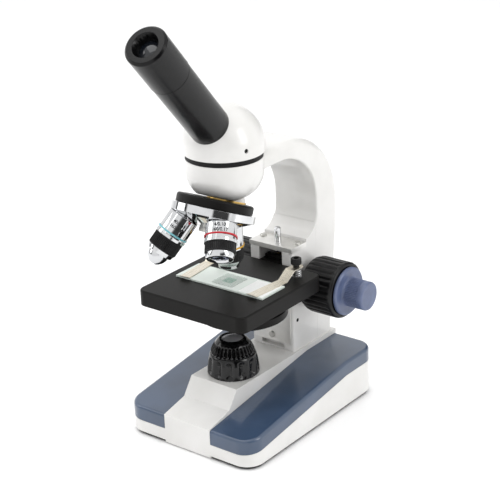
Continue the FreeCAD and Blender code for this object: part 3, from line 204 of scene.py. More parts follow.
black_paint = dry_paint("dry_black_paint", "#0d0c0b", "#151413", 0.42, 0.14)
tube_paint = dry_paint("satin_black_tube_paint", "#060607", "#0b0b0c", 0.22, 0.26)
seal_black = dry_paint("black_seal_paint", "#0b0b0b", "#121212", 0.5)
print("paints", white_enamel.name, slate_enamel.name, black_paint.name, tube_paint.name)


# %% [markdown]
# ### Plastics and rubber
# Knobs and lamp housing are moulded in ABS. A polished mould gives the lamp its gloss, and a
# spark-eroded one gives the knobs their satin skin. Both could be one material with a mask, but two
# plain ones are easier to follow, and differ in roughness and in the size of their texture.

# %% Moulded materials
def moulded(name, first, second, rough, texture, gloss=0.3):
    material = start(name, first, rough, IOR=1.53, Specular_IOR_Level=gloss)
    tint(material, grain(material, 8), first, second)
    vary(material, grain(material, 3), rough - 0.04, rough + 0.05)
    emboss(material, grain(material, texture, detail=2), 0.01)
    return material


gloss_black = moulded("gloss_black_abs", "#040405", "#080809", 0.14, 2.5, 0.36)
satin_black = moulded("satin_black_abs", "#0a0a0b", "#101011", 0.32, 0.5, 0.24)
blue_abs = moulded("slate_blue_abs", "#4d5876", "#596585", 0.36, 0.5, 0.6)
rubber = moulded("black_rubber", "#141414", "#1c1c1c", 0.75, 0.4)
board_green = moulded("circuit_board_lacquer", "#0f4a27", "#176035", 0.35, 1.0)
print("plastics", gloss_black.name, satin_black.name, blue_abs.name)


# %% [markdown]
# ### Metals
# Turned barrels are chrome plated, so they mirror the room with hardly any blur. The cap plate and
# the front cover are satin nickel, and the shafts and screws are plain steel with fine brushing
# along one direction. A metal takes its look from its colour and roughness alone, so each finish
# varies only those two, and the brushed ones also get a very shallow relief.

# %% Metal materials
def plated(name, first, second, rough):
    material = start(name, first, rough, Metallic=1.0)
    tint(material, grain(material, 12), first, second)
    vary(material, grain(material, 2.5), rough - 0.02, rough + 0.05)
    return material


def brushed(name, first, second, rough, stretch):
    material = start(name, first, rough, Metallic=1.0)
    lines = grain(material, 0.25, stretch=stretch, detail=4)
    tint(material, lines, first, second)
    vary(material, lines, rough - 0.08, rough + 0.1)
    emboss(material, lines, 0.006)
    return material


chrome = plated("chrome_plate", "#cdced0", "#dadbdc", 0.06)
satin_nickel = plated("satin_nickel_plate", "#e0dfdc", "#eae9e6", 0.4)
steel = brushed("brushed_steel", "#b9b8b4", "#c9c8c3", 0.32, (30, 1, 1))
strip_steel = brushed("spring_strip_steel", "#d5cdbb", "#e9e3d5", 0.3, (1, 30, 1))
brass = plated("lacquered_brass", "#c8a35a", "#d7b673", 0.2)
print("metals", chrome.name, steel.name, brass.name)


# %% [markdown]
# ### Glass and print
# Clear glass for the lenses, a darker one for the eyepiece, which looks into a black tube, and a
# slide that reads as pale green where its polished face picks up the room. Labels and colour rings
# are thin paint. The stained section could be drawn by hand, but a cell pattern gives its green
# lumps at their real size.

# %% Glass and print materials
def clear(name, colour, rough, through, ior):
    material = start(name, colour, rough, IOR=ior, Transmission_Weight=through)
    vary(material, grain(material, 5), rough, rough + 0.04)
    return material


lens_glass = clear("coated_lens_glass", "#dfe6ff", 0.02, 1.0, 1.6)
eye_glass = clear("dark_eye_lens_glass", "#14181f", 0.03, 0.2, 1.6)
lamp_glass = clear("lamp_lens_glass", "#b9b9bd", 0.12, 0.5, 1.5)
slide_glass = clear("soda_lime_slide_glass", "#ecf5ee", 0.1, 0.12, 1.52)
cover_glass = clear("cover_slip_glass", "#f2f7f4", 0.03, 0.95, 1.3)
paper = dry_paint("label_paper", "#eceeec", "#f6f7f6", 0.7)
print_black = dry_paint("printing_ink", "#151515", "#1d1d1d", 0.5)


def ring_paint(name, colour, deep):
    return moulded(name, colour, deep, 0.35, 1.0)


red_ring = ring_paint("red_ring_paint", "#c21e2c", "#a81824")
yellow_ring = ring_paint("yellow_ring_paint", "#d9a520", "#c4921a")
teal_ring = ring_paint("teal_ring_paint", "#7fc0c9", "#6db1bb")


CELL = 0.9


def stain():
    """A stained section: pale cells with green walls, each cell CELL millimetres across."""
    material = start("stained_specimen", "#3f9c7c", 0.5)
    tree = material.node_tree
    place = add(tree, "ShaderNodeTexCoord")
    sizes = {"Vector": place.outputs["Object"], "Scale": 1 / (CELL * MM)}
    cells = add(tree, "ShaderNodeTexVoronoi", sizes)
    tint(material, cells.outputs["Distance"], "#2f8a6a", "#a9d8c4", 0.15, 0.7)
    return material


specimen_green = stain()
print("glass", lens_glass.name, slide_glass.name)


# %% [markdown]
# ## Softened solids
# A machined or cast edge is never perfectly sharp, and the thin highlight along it is what makes a
# solid look real. Each solid could be modelled again by hand, but its engineering shape is right
# already. So each one that is seen is copied, its loose triangles are merged, its sharp edges get a
# small rounding, and the copy stands in for it.

# %% Soften and finish
def show(name, mesh, material, body):
    """An object at the origin that rides a body."""
    piece = bpy.data.objects.new(name, mesh)
    bpy.context.scene.collection.objects.link(piece)
    if material:
        mesh.materials.clear()
        mesh.materials.append(material)
    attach(piece, body)
    return piece


def smooth(mesh, angle):
    """Smooth shading that still breaks at edges sharper than angle."""
    for face in mesh.polygons:
        face.use_smooth = True
    mesh.set_sharp_from_angle(angle=radians(angle))


SHARPEST, SMOOTHEST = 35, 40


def soften(node, material, width):
    """The node's own shape with edges rounded by width millimetres. Flat faces are kept flat, save
    on turned chrome, whose reflections run smoothly round it."""
    mesh = nodes[node].data.copy()
    mesh.name = node + "_soft"
    form = bmesh.new()
    form.from_mesh(mesh)
    bmesh.ops.remove_doubles(form, verts=form.verts, dist=0.002 * MM)
    bmesh.ops.dissolve_limit(form, angle_limit=radians(1), verts=form.verts, edges=form.edges)
    form.to_mesh(mesh)
    form.free()
    piece = show(node + "_soft", mesh, material, nodes[node]["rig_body"])
    bevel = piece.modifiers.new("rounding", "BEVEL")
    bevel.width = width * MM
    bevel.segments = 2
    bevel.limit_method = "ANGLE"
    bevel.angle_limit = radians(SHARPEST)
    smooth(mesh, SMOOTHEST)
    if material != chrome:
        piece.modifiers.new("flat faces", "WEIGHTED_NORMAL").keep_sharp = True
    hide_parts(node)
    return piece


SOFTENED = {
    white_enamel: {"base_casting": 0.5, "arm_casting": 0.5, "focus_block": 0.4, "head_dome": 0.3},
    slate_enamel: {"wing_left": 0.4, "wing_right": 0.4},
    black_paint: {"stage_plate": 0.4, "stage_carrier": 0.3, "nosepiece_plate": 0.3,
                  "disc_diaphragm": 0.3, "coarse_slide": 0.2},
    seal_black: {"head_ring": 0.2, "base_plate": 0.2},
    satin_nickel: {"cap_plate": 0.2, "block_cover": 0.15},
    strip_steel: {"clip_left": 0.08, "clip_right": 0.08},
    chrome: {"turret": 0.2, "objective_4x_barrel": 0.12, "objective_10x_barrel": 0.12,
             "objective_40x_barrel": 0.12, "objective_40x_tip": 0.1, "stage_stop_screw": 0.1},
    tube_paint: {"eyepiece_tube": 0.2, "eyepiece_barrel": 0.25},
}
for material, group in SOFTENED.items():
    for node, width in group.items():
        soften(node, material, width)
print("softened", sum(len(group) for group in SOFTENED.values()))


# %% Plain nodes that keep their own mesh
KEPT = {
    rubber: ["rubber_feet"],
    steel: ["base_screws", "block_screws", "stage_screws", "fine_shaft", "pinion_sleeve",
            "diaphragm_screw", "turret_screw", "clip_posts"],
    brass: ["rack", "neck_collar", "shaft_bushes"],
    satin_black: ["power_inlet", "switch_rocker", "head_set_screw"],
    board_green: ["lamp_board"],
    eye_glass: ["eye_lens"],
    lens_glass: ["field_lens", "prism", "objective_4x_lens", "objective_10x_lens",
                 "objective_40x_lens"],
    lamp_glass: ["lamp_lens"],
    slide_glass: ["glass_slide"],
}
for material, names in KEPT.items():
    for node in names:
        mesh = nodes[node].data
        mesh.materials.clear()
        mesh.materials.append(material)
print("kept", sum(len(names) for names in KEPT.values()))


# %% [markdown]
# ## Fluted and knurled pieces
# Lamp housing, knobs, nuts and objective grips are all turned shapes with ribs that repeat round
# their axis. A lathe makes the plain shape with enough rings, and one Geometry Nodes tree cuts the
# ribs: each point moves towards the axis by a wave of its angle, inside a band of heights. Only
# skin that looks away from the axis moves, so bores and inner walls stay as they are.

# %% A lathe
def finished_mesh(name, form):
    """A mesh from a form, which is used up."""
    mesh = bpy.data.meshes.new(name)
    form.to_mesh(mesh)
    form.free()
    return mesh


def rings_along(profile, step):
    """The profile's points with more between them, never further apart than step."""
    points = [profile[0]]
    for (r0, z0), (r1, z1) in zip(profile, profile[1:]):
        length = ((r1 - r0) ** 2 + (z1 - z0) ** 2) ** 0.5
        count = max(1, round(length / step))
        parts = [i / count for i in range(1, count + 1)]
        points += [(r0 + (r1 - r0) * part, z0 + (z1 - z0) * part) for part in parts]
    return points


def lathe(name, profile, around=96, step=1.0, hollow=False):
    """A turned mesh about Z from a profile of (radius, height) in millimetres. A hollow piece's
    profile closes on itself; any other starts and ends on the axis."""
    points = rings_along(profile + [profile[0]] if hollow else profile, step)
    if hollow:
        points = points[:-1]
    form = bmesh.new()
    rows = []
    for radius, height in points:
        if radius < 1e-6:
            rows.append([form.verts.new((0, 0, height * MM))])
        else:
            rows.append([form.verts.new((radius * MM * cos(2 * pi * k / around),
                                         radius * MM * sin(2 * pi * k / around), height * MM))
                         for k in range(around)])
    pairs = list(zip(rows, rows[1:])) + ([(rows[-1], rows[0])] if hollow else [])
    for low, high in pairs:
        for k in range(around):
            after = k + 1
            corners = [low[k % len(low)], low[after % len(low)], high[after % len(high)], high[k % len(high)]]
            corners = list(dict.fromkeys(corners))
            if len(corners) > 2:
                form.faces.new(corners)
    bmesh.ops.recalc_face_normals(form, faces=form.faces)
    return finished_mesh(name, form)


print("lathe ready")

# %% A tree that cuts ribs
def empty_tree():
    """A tree with the sockets of the ribs and nothing in it."""
    tree = bpy.data.node_groups.new("ribs round an axis", "GeometryNodeTree")
    tree.interface.new_socket("Geometry", in_out="INPUT", socket_type="NodeSocketGeometry")
    for name in ("Count", "Depth", "Low", "High", "Ease", "Edge"):
        tree.interface.new_socket(name, in_out="INPUT", socket_type="NodeSocketFloat")
    tree.interface.new_socket("Material", in_out="INPUT", socket_type="NodeSocketMaterial")
    tree.interface.new_socket("Geometry", in_out="OUTPUT", socket_type="NodeSocketGeometry")
    return tree


def rib_tree():
    """Each point moves inwards by a wave of its angle, in a band from Low to High that fades over
    Ease at both ends. Edge makes the hollows narrower than the ribs."""
    tree = empty_tree()
    given = add(tree, "NodeGroupInput").outputs

    def calc(operation, first, second=0.0, third=0.0):
        inputs = {0: first, 1: second, 2: third}
        return add(tree, "ShaderNodeMath", inputs, operation=operation).outputs[0]

    def fade(start, finish):
        inputs = {"Value": parts["Z"], "From Min": start, "From Max": finish}
        node = add(tree, "ShaderNodeMapRange", inputs, interpolation_type="SMOOTHSTEP")
        return node.outputs["Result"]

    def vector(operation, inputs):
        return add(tree, "ShaderNodeVectorMath", inputs, operation=operation).outputs

    place = add(tree, "GeometryNodeInputPosition").outputs[0]
    parts = add(tree, "ShaderNodeSeparateXYZ", {0: place}).outputs
    angle = calc("ARCTAN2", parts["Y"], parts["X"])
    wave = calc("MULTIPLY_ADD", calc("COSINE", calc("MULTIPLY", angle, given["Count"])), 0.5, 0.5)
    shaped = calc("POWER", wave, given["Edge"])
    rise = fade(given["Low"], calc("ADD", given["Low"], given["Ease"]))
    fall = fade(given["High"], calc("SUBTRACT", given["High"], given["Ease"]))
    cut = calc("MULTIPLY", calc("MULTIPLY", shaped, calc("MULTIPLY", rise, fall)), given["Depth"])
    flat = add(tree, "ShaderNodeCombineXYZ", {"X": parts["X"], "Y": parts["Y"], "Z": 0.0}).outputs[0]
    outward = vector("NORMALIZE", {0: flat})[0]
    normal = add(tree, "GeometryNodeInputNormal").outputs[0]
    looking = vector("DOT_PRODUCT", {0: normal, 1: outward})["Value"]
    limits = {"Value": looking, "From Min": SKIN_STARTS, "From Max": SKIN_FULL}
    skin = add(tree, "ShaderNodeMapRange", limits).outputs["Result"]
    shift = calc("MULTIPLY", calc("MULTIPLY", cut, skin), -1.0)
    inward = vector("SCALE", {0: outward, "Scale": shift})[0]
    moved = add(tree, "GeometryNodeSetPosition", {"Geometry": given["Geometry"], "Offset": inward})
    real = add(tree, "GeometryNodeRealizeInstances", {0: moved.outputs[0]})
    paint = {"Geometry": real.outputs[0], "Material": given["Material"]}
    finished = add(tree, "GeometryNodeSetMaterial", paint)
    add(tree, "NodeGroupOutput", {"Geometry": finished.outputs[0]})
    return tree


SKIN_STARTS, SKIN_FULL = 0.05, 0.35
RIBS = rib_tree()
RIB_SOCKETS = {item.name: item.identifier for item in RIBS.interface.items_tree if item.in_out == "INPUT"}


def baked(blank):
    """The mesh of a blank as its modifiers or its text leave it. The blank is removed."""
    ready = blank.evaluated_get(bpy.context.evaluated_depsgraph_get())
    mesh = bpy.data.meshes.new_from_object(ready)
    bpy.data.objects.remove(blank)
    return mesh


def ribbed(mesh, material, count, edge, **lengths):
    """The mesh with one band of ribs cut in it. The lengths are depth, low, high and ease."""
    blank = bpy.data.objects.new("blank", mesh)
    bpy.context.scene.collection.objects.link(blank)
    cutter = blank.modifiers.new("ribs", "NODES")
    cutter.node_group = RIBS
    cutter[RIB_SOCKETS["Count"]] = float(count)
    cutter[RIB_SOCKETS["Edge"]] = float(edge)
    cutter[RIB_SOCKETS["Material"]] = material
    for name, value in lengths.items():
        cutter[RIB_SOCKETS[name.capitalize()]] = value * MM
    return baked(blank)


def facing(point, direction):
    """The place of a piece whose own Z runs along direction."""
    turn = Vector(direction).to_track_quat("Z", "Y").to_matrix().to_4x4()
    return Matrix.Translation(point) @ turn


def stand_in(name, mesh, material, place, node, sharp=40):
    """A turned piece put in its place, instead of the node."""
    mesh.transform(place)
    smooth(mesh, sharp)
    piece = show(name, mesh, material, nodes[node]["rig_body"])
    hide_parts(node)
    return piece


print("rib tree", len(RIBS.nodes), "nodes")

# %% [markdown]
# ### Lamp housing
# A glossy moulded dome. Twelve long teardrop hollows go round its lower half and thirty short fins
# round the shoulder, with a groove between them. The lens sits in a recess at the top. The wall is
# turned first, and the hollows and the fins are two bands of ribs of very different count.

# %% Make the lamp housing
lamp_low, lamp_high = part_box("lamp_housing")
LAMP_FOOT = (lamp_high.x - lamp_low.x) / 2 / MM
LAMP_TALL = (lamp_high.z - lamp_low.z) / MM
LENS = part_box("lamp_lens")[1].x / MM
RECESS, LEDGE = 3.4, 1.3
lamp_profile = [
    (LAMP_FOOT - 2.4, 0), (LAMP_FOOT - 0.5, 0), (LAMP_FOOT, 0.5), (LAMP_FOOT - 0.1, 3),
    (LAMP_FOOT - 0.4, 6.5), (LAMP_FOOT - 0.9, 10), (LAMP_FOOT - 1.8, 13.4), (LAMP_FOOT - 2.4, 14.8),
    (LAMP_FOOT - 2.9, 15.1), (LAMP_FOOT - 2.8, 15.7), (LAMP_FOOT - 3.0, 17),
    (LAMP_FOOT - 4.2, 19.8), (LAMP_FOOT - 6.2, 22.6), (LENS + 2.6, LAMP_TALL - 1),
    (LENS + 1.4, LAMP_TALL), (LENS, LAMP_TALL), (LENS, LAMP_TALL - RECESS),
    (LENS - LEDGE, LAMP_TALL - RECESS),
    (LAMP_FOOT - 6.4, 16), (LAMP_FOOT - 2.4, 10),
]
lamp_mesh = lathe("lamp_housing_fluted", lamp_profile, around=360, step=0.6, hollow=True)
lamp_mesh = ribbed(lamp_mesh, gloss_black, 12, 1.5, depth=2.1, low=0.3, high=13.9, ease=3.6)
lamp_mesh = ribbed(lamp_mesh, gloss_black, 30, 0.8, depth=2.2, low=15.7, high=22.4, ease=1.3)
lamp_place = Matrix.Translation(AXIS + Z * lamp_low.z)
stand_in("lamp_housing_fluted", lamp_mesh, gloss_black, lamp_place, "lamp_housing", 50)
print("lamp housing", len(lamp_mesh.polygons), "faces")

# %% [markdown]
# ### Focus knobs
# The coarse knob is a black drum with wide shallow grooves, a rounded inner shoulder and a rim
# that stands round the fine knob's flange. The fine knob is one blue moulding: a flange and a hub
# with fine knurling near its root. Left and right are the same piece, faced the other way.

# %% Make the knobs
DRIVE = Vector(joints["coarse_turn"]["pos_m"])
SLEEVE, SHAFT, SHAFT_HOLE, HUB, DISH = 5.9, 2.9, 2.5, 10.3, 0.4


def reach_across(node):
    """How far out along X the node starts and ends, in millimetres."""
    low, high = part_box(node)
    return sorted((abs(low.x) / MM, abs(high.x) / MM))


def drive_radius(node):
    return (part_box(node)[1].z - DRIVE.z) / MM


def make_coarse_knob(side, place):
    node = "coarse_knob_" + side
    start, end = reach_across(node)
    radius = drive_radius(node)
    floor = end - DISH
    drum = [
        (SLEEVE, start), (radius - 6.5, start), (radius - 3.4, start + 0.7), (radius - 1.4, start + 2.4),
        (radius - 0.3, start + 5), (radius, start + 7), (radius, end - 2.2), (radius - 0.5, end - 0.8),
        (radius - 1.6, end), (radius - 2.4, end), (radius - 2.6, floor),
        (SHAFT, floor), (SHAFT, end - 4), (SLEEVE, end - 8),
    ]
    name = "coarse_knob_fluted_" + side
    mesh = lathe(name, drum, around=336, step=1.0, hollow=True)
    mesh = ribbed(mesh, satin_black, 28, 2.2, depth=0.75, low=start + 1.5, high=end - 1.2, ease=3.5)
    stand_in(name, mesh, satin_black, place, node, 50)


def make_fine_knob(side, place):
    node = "fine_knob_" + side
    start, end = reach_across(node)
    flange = drive_radius(node)
    shelf = start + 2.5
    cap = [
        (0, start), (SHAFT_HOLE, start), (flange - 0.3, start), (flange, start + 0.3), (flange, shelf - 0.8),
        (flange - 0.7, shelf - 0.1), (flange - 1.5, shelf), (HUB + 1.2, shelf), (HUB + 0.2, shelf + 0.3),
        (HUB, shelf + 1), (HUB, end - 1.0), (HUB - 0.3, end - 0.3), (HUB - 1.0, end), (0, end),
    ]
    name = "fine_knob_knurled_" + side
    mesh = lathe(name, cap, around=432, step=0.8)
    mesh = ribbed(mesh, blue_abs, 54, 1.0, depth=0.6, low=shelf + 0.5, high=end - 3.5, ease=1.5)
    stand_in(name, mesh, blue_abs, place, node, 50)


for side, sign in (("right", 1), ("left", -1)):
    outward = facing(DRIVE.copy(), (sign, 0, 0))
    make_coarse_knob(side, outward)
    make_fine_knob(side, outward)
print("knobs made")

# %% [markdown]
# ### Knurled grips and nuts
# Each objective has a black knurled collar, and each clip a small knurled nut. Straight knurling
# is rolled into the turned part at a little over one millimetre a ridge. The objectives point away
# from one apex on the optical axis, so a direction each is enough to place them.

# %% Make the grips and nuts
NOSE_TILT = radians(23)
NOSE_WAY = Vector((0, sin(NOSE_TILT), cos(NOSE_TILT)))
APEX = AXIS + Z * 195.5 * MM


def station(degrees):
    """An objective's direction: straight down, turned about the nosepiece's own axis."""
    return Matrix.Rotation(radians(degrees), 3, NOSE_WAY) @ Vector((0, 0, -1))


WAYS = {"objective_4x": station(-120), "objective_10x": station(0), "objective_40x": station(120)}


def along(node, way, start=APEX):
    """How near and far the node reaches along way from start, and its least and greatest radius
    about that line, in millimetres."""
    points = [v.co - start for v in nodes[node].data.vertices]
    reach = [point.dot(way) / MM for point in points]
    wide = [(point - way * point.dot(way)).length / MM for point in points]
    return min(reach), max(reach), min(wide), max(wide)


GRIP_EDGE, NUT_BORE = 0.3, 2.0
for name, way in WAYS.items():
    low, high, bore, radius = along(name + "_grip", way)
    inner = radius - GRIP_EDGE
    first, last = low + GRIP_EDGE, high - GRIP_EDGE
    grip = [(bore, low), (inner, low), (radius, first), (radius, last), (inner, high), (bore, high)]
    mesh = lathe(name + "_knurl", grip, around=384, step=0.5, hollow=True)
    mesh = ribbed(mesh, satin_black, 48, 0.8, depth=0.55, low=first, high=last, ease=0.4)
    stand_in(name + "_knurl", mesh, satin_black, facing(APEX, way), name + "_grip", 50)
for side in ("left", "right"):
    low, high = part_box("clip_nut_" + side)
    middle = (low + high) / 2
    radius = (high.x - low.x) / 2 / MM
    tall = (high.z - low.z) / MM
    nut = [(NUT_BORE, 0), (radius - 1.6, 0), (radius - 1.4, 1.6), (radius - 0.3, 2.0), (radius, 2.4),
           (radius, tall - 0.4), (radius - 0.4, tall), (NUT_BORE, tall)]
    mesh = lathe("clip_nut_knurled_" + side, nut, around=192, step=0.4, hollow=True)
    mesh = ribbed(mesh, satin_black, 24, 1.0, depth=0.3, low=2.2, high=tall - 0.2, ease=0.4)
    place = Matrix.Translation(Vector((middle.x, middle.y, low.z)))
    stand_in("clip_nut_knurled_" + side, mesh, satin_black, place, "clip_nut_" + side, 50)
print("grips and nuts made")

# %% [markdown]
# ### Clip springs
# A compression spring holds each clip down on the slide. It is wound from a round wire: a circle
# is carried along a helix, upright and facing round it all the way. A screw modifier would do the
# same, but a loop keeps the wire's ends closed.

# %% Wind the springs
def wind(name, middle, low, high, radius, wire, turns, around=10, per_turn=40):
    """A closed coil about a vertical axis, sizes in millimetres."""
    form = bmesh.new()
    steps = int(turns * per_turn)
    rows = []
    for step in range(steps + 1):
        angle = 2 * pi * step / per_turn
        height = low + wire + (high - low - 2 * wire) * step / steps
        out = Vector((cos(angle), sin(angle), 0))
        centre = out * radius + Z * height
        ring = [centre + out * wire * cos(2 * pi * k / around) + Z * wire * sin(2 * pi * k / around)
                for k in range(around)]
        rows.append([form.verts.new(middle + corner * MM) for corner in ring])
    for near, far in zip(rows, rows[1:]):
        for k in range(around):
            after = (k + 1) % around
            form.faces.new((near[k], near[after], far[after], far[k]))
    form.faces.new(rows[0])
    form.faces.new(rows[-1])
    bmesh.ops.recalc_face_normals(form, faces=form.faces)
    mesh = finished_mesh(name, form)
    smooth(mesh, 60)
    return mesh


spring_low, spring_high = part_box("clip_springs")
coil_wide = (spring_high.y - spring_low.y) / 2 / MM
coil_middle_y = (spring_low.y + spring_high.y) / 2
coil_across = (spring_high.x - spring_low.x) / 2 - coil_wide * MM
WIRE, SPRING_TURNS, SPRING_GAP = 0.36, 3.5, 0.1
for side, sign in (("left", -1), ("right", 1)):
    middle = Vector((sign * coil_across, coil_middle_y, 0))
    mesh = wind("clip_spring_" + side, middle, spring_low.z / MM, spring_high.z / MM,
                coil_wide - WIRE - SPRING_GAP, WIRE, SPRING_TURNS)
    piece = show("clip_spring_" + side, mesh, chrome, nodes["clip_springs"]["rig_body"])
    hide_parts("clip_springs")
print("springs wound")

# %% [markdown]
# ### Joint line and screw sockets
# The eyepiece meets its tube in a thin dark line, made as a ring a hair wider than both. The grub
# screws in the sides of the focusing block read as small dark discs, so each is a thin disc there.

# %% Make the joint line and the sockets
def small_turning(name, profile, material, place, body, hollow=False):
    mesh = lathe(name, profile, around=96, step=2.0, hollow=hollow)
    mesh.transform(place)
    smooth(mesh, 40)
    piece = show(name, mesh, material, body)


TUBE_WAY = Vector(joints["eyepiece_pull"]["axis"]).normalized()
TUBE_START = AXIS + Z * 205.5 * MM
LINE_HALF, LINE_DEEP, LINE_PROUD = 0.12, 0.2, 0.03
tube_end, tube_radius = along("eyepiece_tube", TUBE_WAY, TUBE_START)[1::2]
eyepiece_radius = along("eyepiece_barrel", TUBE_WAY, TUBE_START)[3]
inner, outer = tube_radius - LINE_DEEP, eyepiece_radius + LINE_PROUD
line = [(inner, -LINE_HALF), (outer, -LINE_HALF), (outer, LINE_HALF), (inner, LINE_HALF)]
line_place = facing(TUBE_START + TUBE_WAY * tube_end * MM, TUBE_WAY)
small_turning("tube_joint_line", line, seal_black, line_place, "head", hollow=True)
arm_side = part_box("focus_block")[1].x
GRUB_BACK, GRUB_UP, GRUB_RADIUS, GRUB_THICK = 46.2, 63.2, 1.4, 0.02
for side, sign in (("left", -1), ("right", 1)):
    place = facing(Vector((sign * arm_side, GRUB_BACK * MM, GRUB_UP * MM)), (sign, 0, 0))
    disc = [(0, 0), (GRUB_RADIUS, 0), (GRUB_RADIUS, GRUB_THICK), (0, GRUB_THICK)]
    small_turning("grub_socket_" + side, disc, seal_black, place, "stand")
print("tube end", round(tube_end, 2), "radius", round(tube_radius, 2), round(eyepiece_radius, 2))

# %% [markdown]
# ### Colour rings
# Makers mark magnifications with a painted ring: red for 4, yellow for 10, light blue for 40. Each
# is a shallow band of paint standing a tenth of a millimetre on the chrome. It could be a mask in
# the chrome's material, but a ring of its own stays crisp and keeps the chrome simple.

# %% Make the colour rings
def ring_radius(node, way):
    """The barrel's largest radius about its own axis, in millimetres."""
    return along(node, way)[3]


RINGS = {"objective_4x": (54.8, red_ring), "objective_10x": (61.0, yellow_ring),
         "objective_40x": (60.0, teal_ring)}
RING_HALF, RING_SHOULDER, RING_DEEP, RING_EDGE, RING_PROUD = 0.6, 0.5, 0.2, 0.08, 0.12
for name, (middle, paint) in RINGS.items():
    way = WAYS[name]
    radius = ring_radius(name + "_barrel", way)
    sunk, edge, crest = radius - RING_DEEP, radius + RING_EDGE, radius + RING_PROUD
    band = [(sunk, middle - RING_HALF), (edge, middle - RING_SHOULDER), (crest, middle),
            (edge, middle + RING_SHOULDER), (sunk, middle + RING_HALF)]
    mesh = lathe(name + "_ring", band, around=128, step=1.0, hollow=True)
    mesh.transform(facing(APEX, way))
    smooth(mesh, 60)
    piece = show(name + "_ring", mesh, paint, "nosepiece")
print("rings", len(RINGS))


# %% [markdown]
# ### Figures on the objectives
# Magnification and aperture are printed on every objective. Flat text is given a hair of
# thickness, turned into a mesh, and wrapped round the barrel: its width becomes an angle and its
# height a distance along the axis. A printed texture would need its own unwrapping, and real
# geometry stays sharp at any distance.

# %% Print the figures
def flat_text(name, text):
    """The text as a flat mesh about the origin, a hair thick."""
    curve = bpy.data.curves.new(name, "FONT")
    curve.body = text
    curve.size = FIGURE_HEIGHT * MM
    curve.extrude = INK_THICK * MM
    curve.align_x = "CENTER"
    curve.align_y = "CENTER"
    blank = bpy.data.objects.new(name + "_flat", curve)
    bpy.context.scene.collection.objects.link(blank)
    return baked(blank)


def wrap_text(name, text, way, middle, radius):
    """Text round a barrel, read from READER, with its top towards the apex."""
    mesh = flat_text(name, text)
    place = facing(APEX, way)
    seen = place.inverted() @ READER
    toward = atan2(seen.y, seen.x)
    for vert in mesh.vertices:
        angle = toward - vert.co.x / (radius * MM)
        reach = radius * MM + vert.co.z
        vert.co = Vector((reach * cos(angle), reach * sin(angle), middle * MM - vert.co.y))
    mesh.transform(place)
    form = bmesh.new()
    form.from_mesh(mesh)
    bmesh.ops.remove_doubles(form, verts=form.verts, dist=0.001 * MM)
    bmesh.ops.recalc_face_normals(form, faces=form.faces)
    piece = show(name, finished_mesh(name, form), print_black, "nosepiece")


READER = Vector((0.5, -0.75, 0.3))
FIGURES = {"objective_4x": (("4/0.10", 49.2), ("160/0.17", 52.6)),
           "objective_10x": (("10/0.25", 53.6), ("160/0.17", 57.2)),
           "objective_40x": (("40/0.65", 51.6), ("160/0.17", 55.2))}
FIGURE_HEIGHT, INK_THICK = 3.2, 0.02
for name, rows in FIGURES.items():
    for number, (text, middle) in enumerate(rows, 1):
        radius = ring_radius(name + "_barrel", WAYS[name]) + INK_THICK
        wrap_text(f"{name}_figures_{number}", text, WAYS[name], middle, radius)
print("figures", len(FIGURES))

# %% [markdown]
# ### Slide label, cover slip and specimen
# The prepared slide has a paper label at its right end and a thin square of glass over the stained
# section. All three are thin flat boxes with rounded corners, one above the other without touching.

# %% Make what lies on the slide
def sheet(name, low, high, material):
    """A thin box with slightly rounded corners, from corner to corner."""
    form = bmesh.new()
    bmesh.ops.create_cube(form, size=1)
    for vert in form.verts:
        vert.co = Vector([low[i] if vert.co[i] < 0 else high[i] for i in range(3)])
    upright = [e for e in form.edges if abs(e.verts[0].co.z - e.verts[1].co.z) > 1e-6]
    bmesh.ops.bevel(form, geom=upright, offset=0.8 * MM, segments=3, affect="EDGES", profile=0.5)
    piece = show(name, finished_mesh(name, form), material, "specimen")
    return piece


glass_low, glass_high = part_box("glass_slide")
top = glass_high.z
margin, label_long = 1.5 * MM, 20 * MM
paper_thick, slip_thick, air = 0.06 * MM, 0.12 * MM, 0.01 * MM
label_low = (glass_high.x - margin - label_long, glass_low.y + margin, top)
label_high = (glass_high.x - margin, glass_high.y - margin, top + paper_thick)
sheet("slide_label", label_low, label_high, paper)
middle_y = (glass_low.y + glass_high.y) / 2


def square_sheet(name, half, bottom, upper, material):
    low = (-half, middle_y - half, bottom)
    high = (half, middle_y + half, upper)
    sheet(name, low, high, material)


section_top = top + paper_thick / 2
square_sheet("specimen_section", 4 * MM, top, section_top, specimen_green)
square_sheet("cover_slip", 9 * MM, section_top + air, section_top + slip_thick, cover_glass)
print("slide dressed")

# %% [markdown]
# ## Floor, light and camera
# A plain pale floor runs to the horizon. The room is white with three dark bands from floor to
# ceiling, which the chrome mirrors as dark stripes. Broad soft lights on both sides and above give
# the gloss paint long clean reflections.

# %% Make the studio
floor_mesh = bpy.data.meshes.new("studio_floor")
reach = 6.0
corners = [(-reach, -reach, 0), (reach, -reach, 0), (reach, reach, 0), (-reach, reach, 0)]
floor_mesh.from_pydata(corners, [], [(0, 1, 2, 3)])
floor = bpy.data.objects.new("studio_floor", floor_mesh)
bpy.context.scene.collection.objects.link(floor)
floor_paint = start("matt_white_floor", "#fafafa", 0.9, Specular_IOR_Level=0.1)
floor_mesh.materials.append(floor_paint)
floor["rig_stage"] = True

world = bpy.data.worlds.new("soft studio")
bpy.context.scene.world = world
world.use_nodes = True
sky = world.node_tree
sky.nodes["Background"].inputs["Color"].default_value = linear("#ffffff")
direction = add(sky, "ShaderNodeTexCoord").outputs["Generated"]
way = add(sky, "ShaderNodeSeparateXYZ", {0: direction}).outputs
WALL, CEILING = 0.06, 1.05
DARK_BANDS, BAND_TURN = 3.0, -pi / 2
BAND_DARK, BAND_BRIGHT = -0.6, -0.3
CEILING_STARTS, CEILING_FULL = 0.45, 0.7


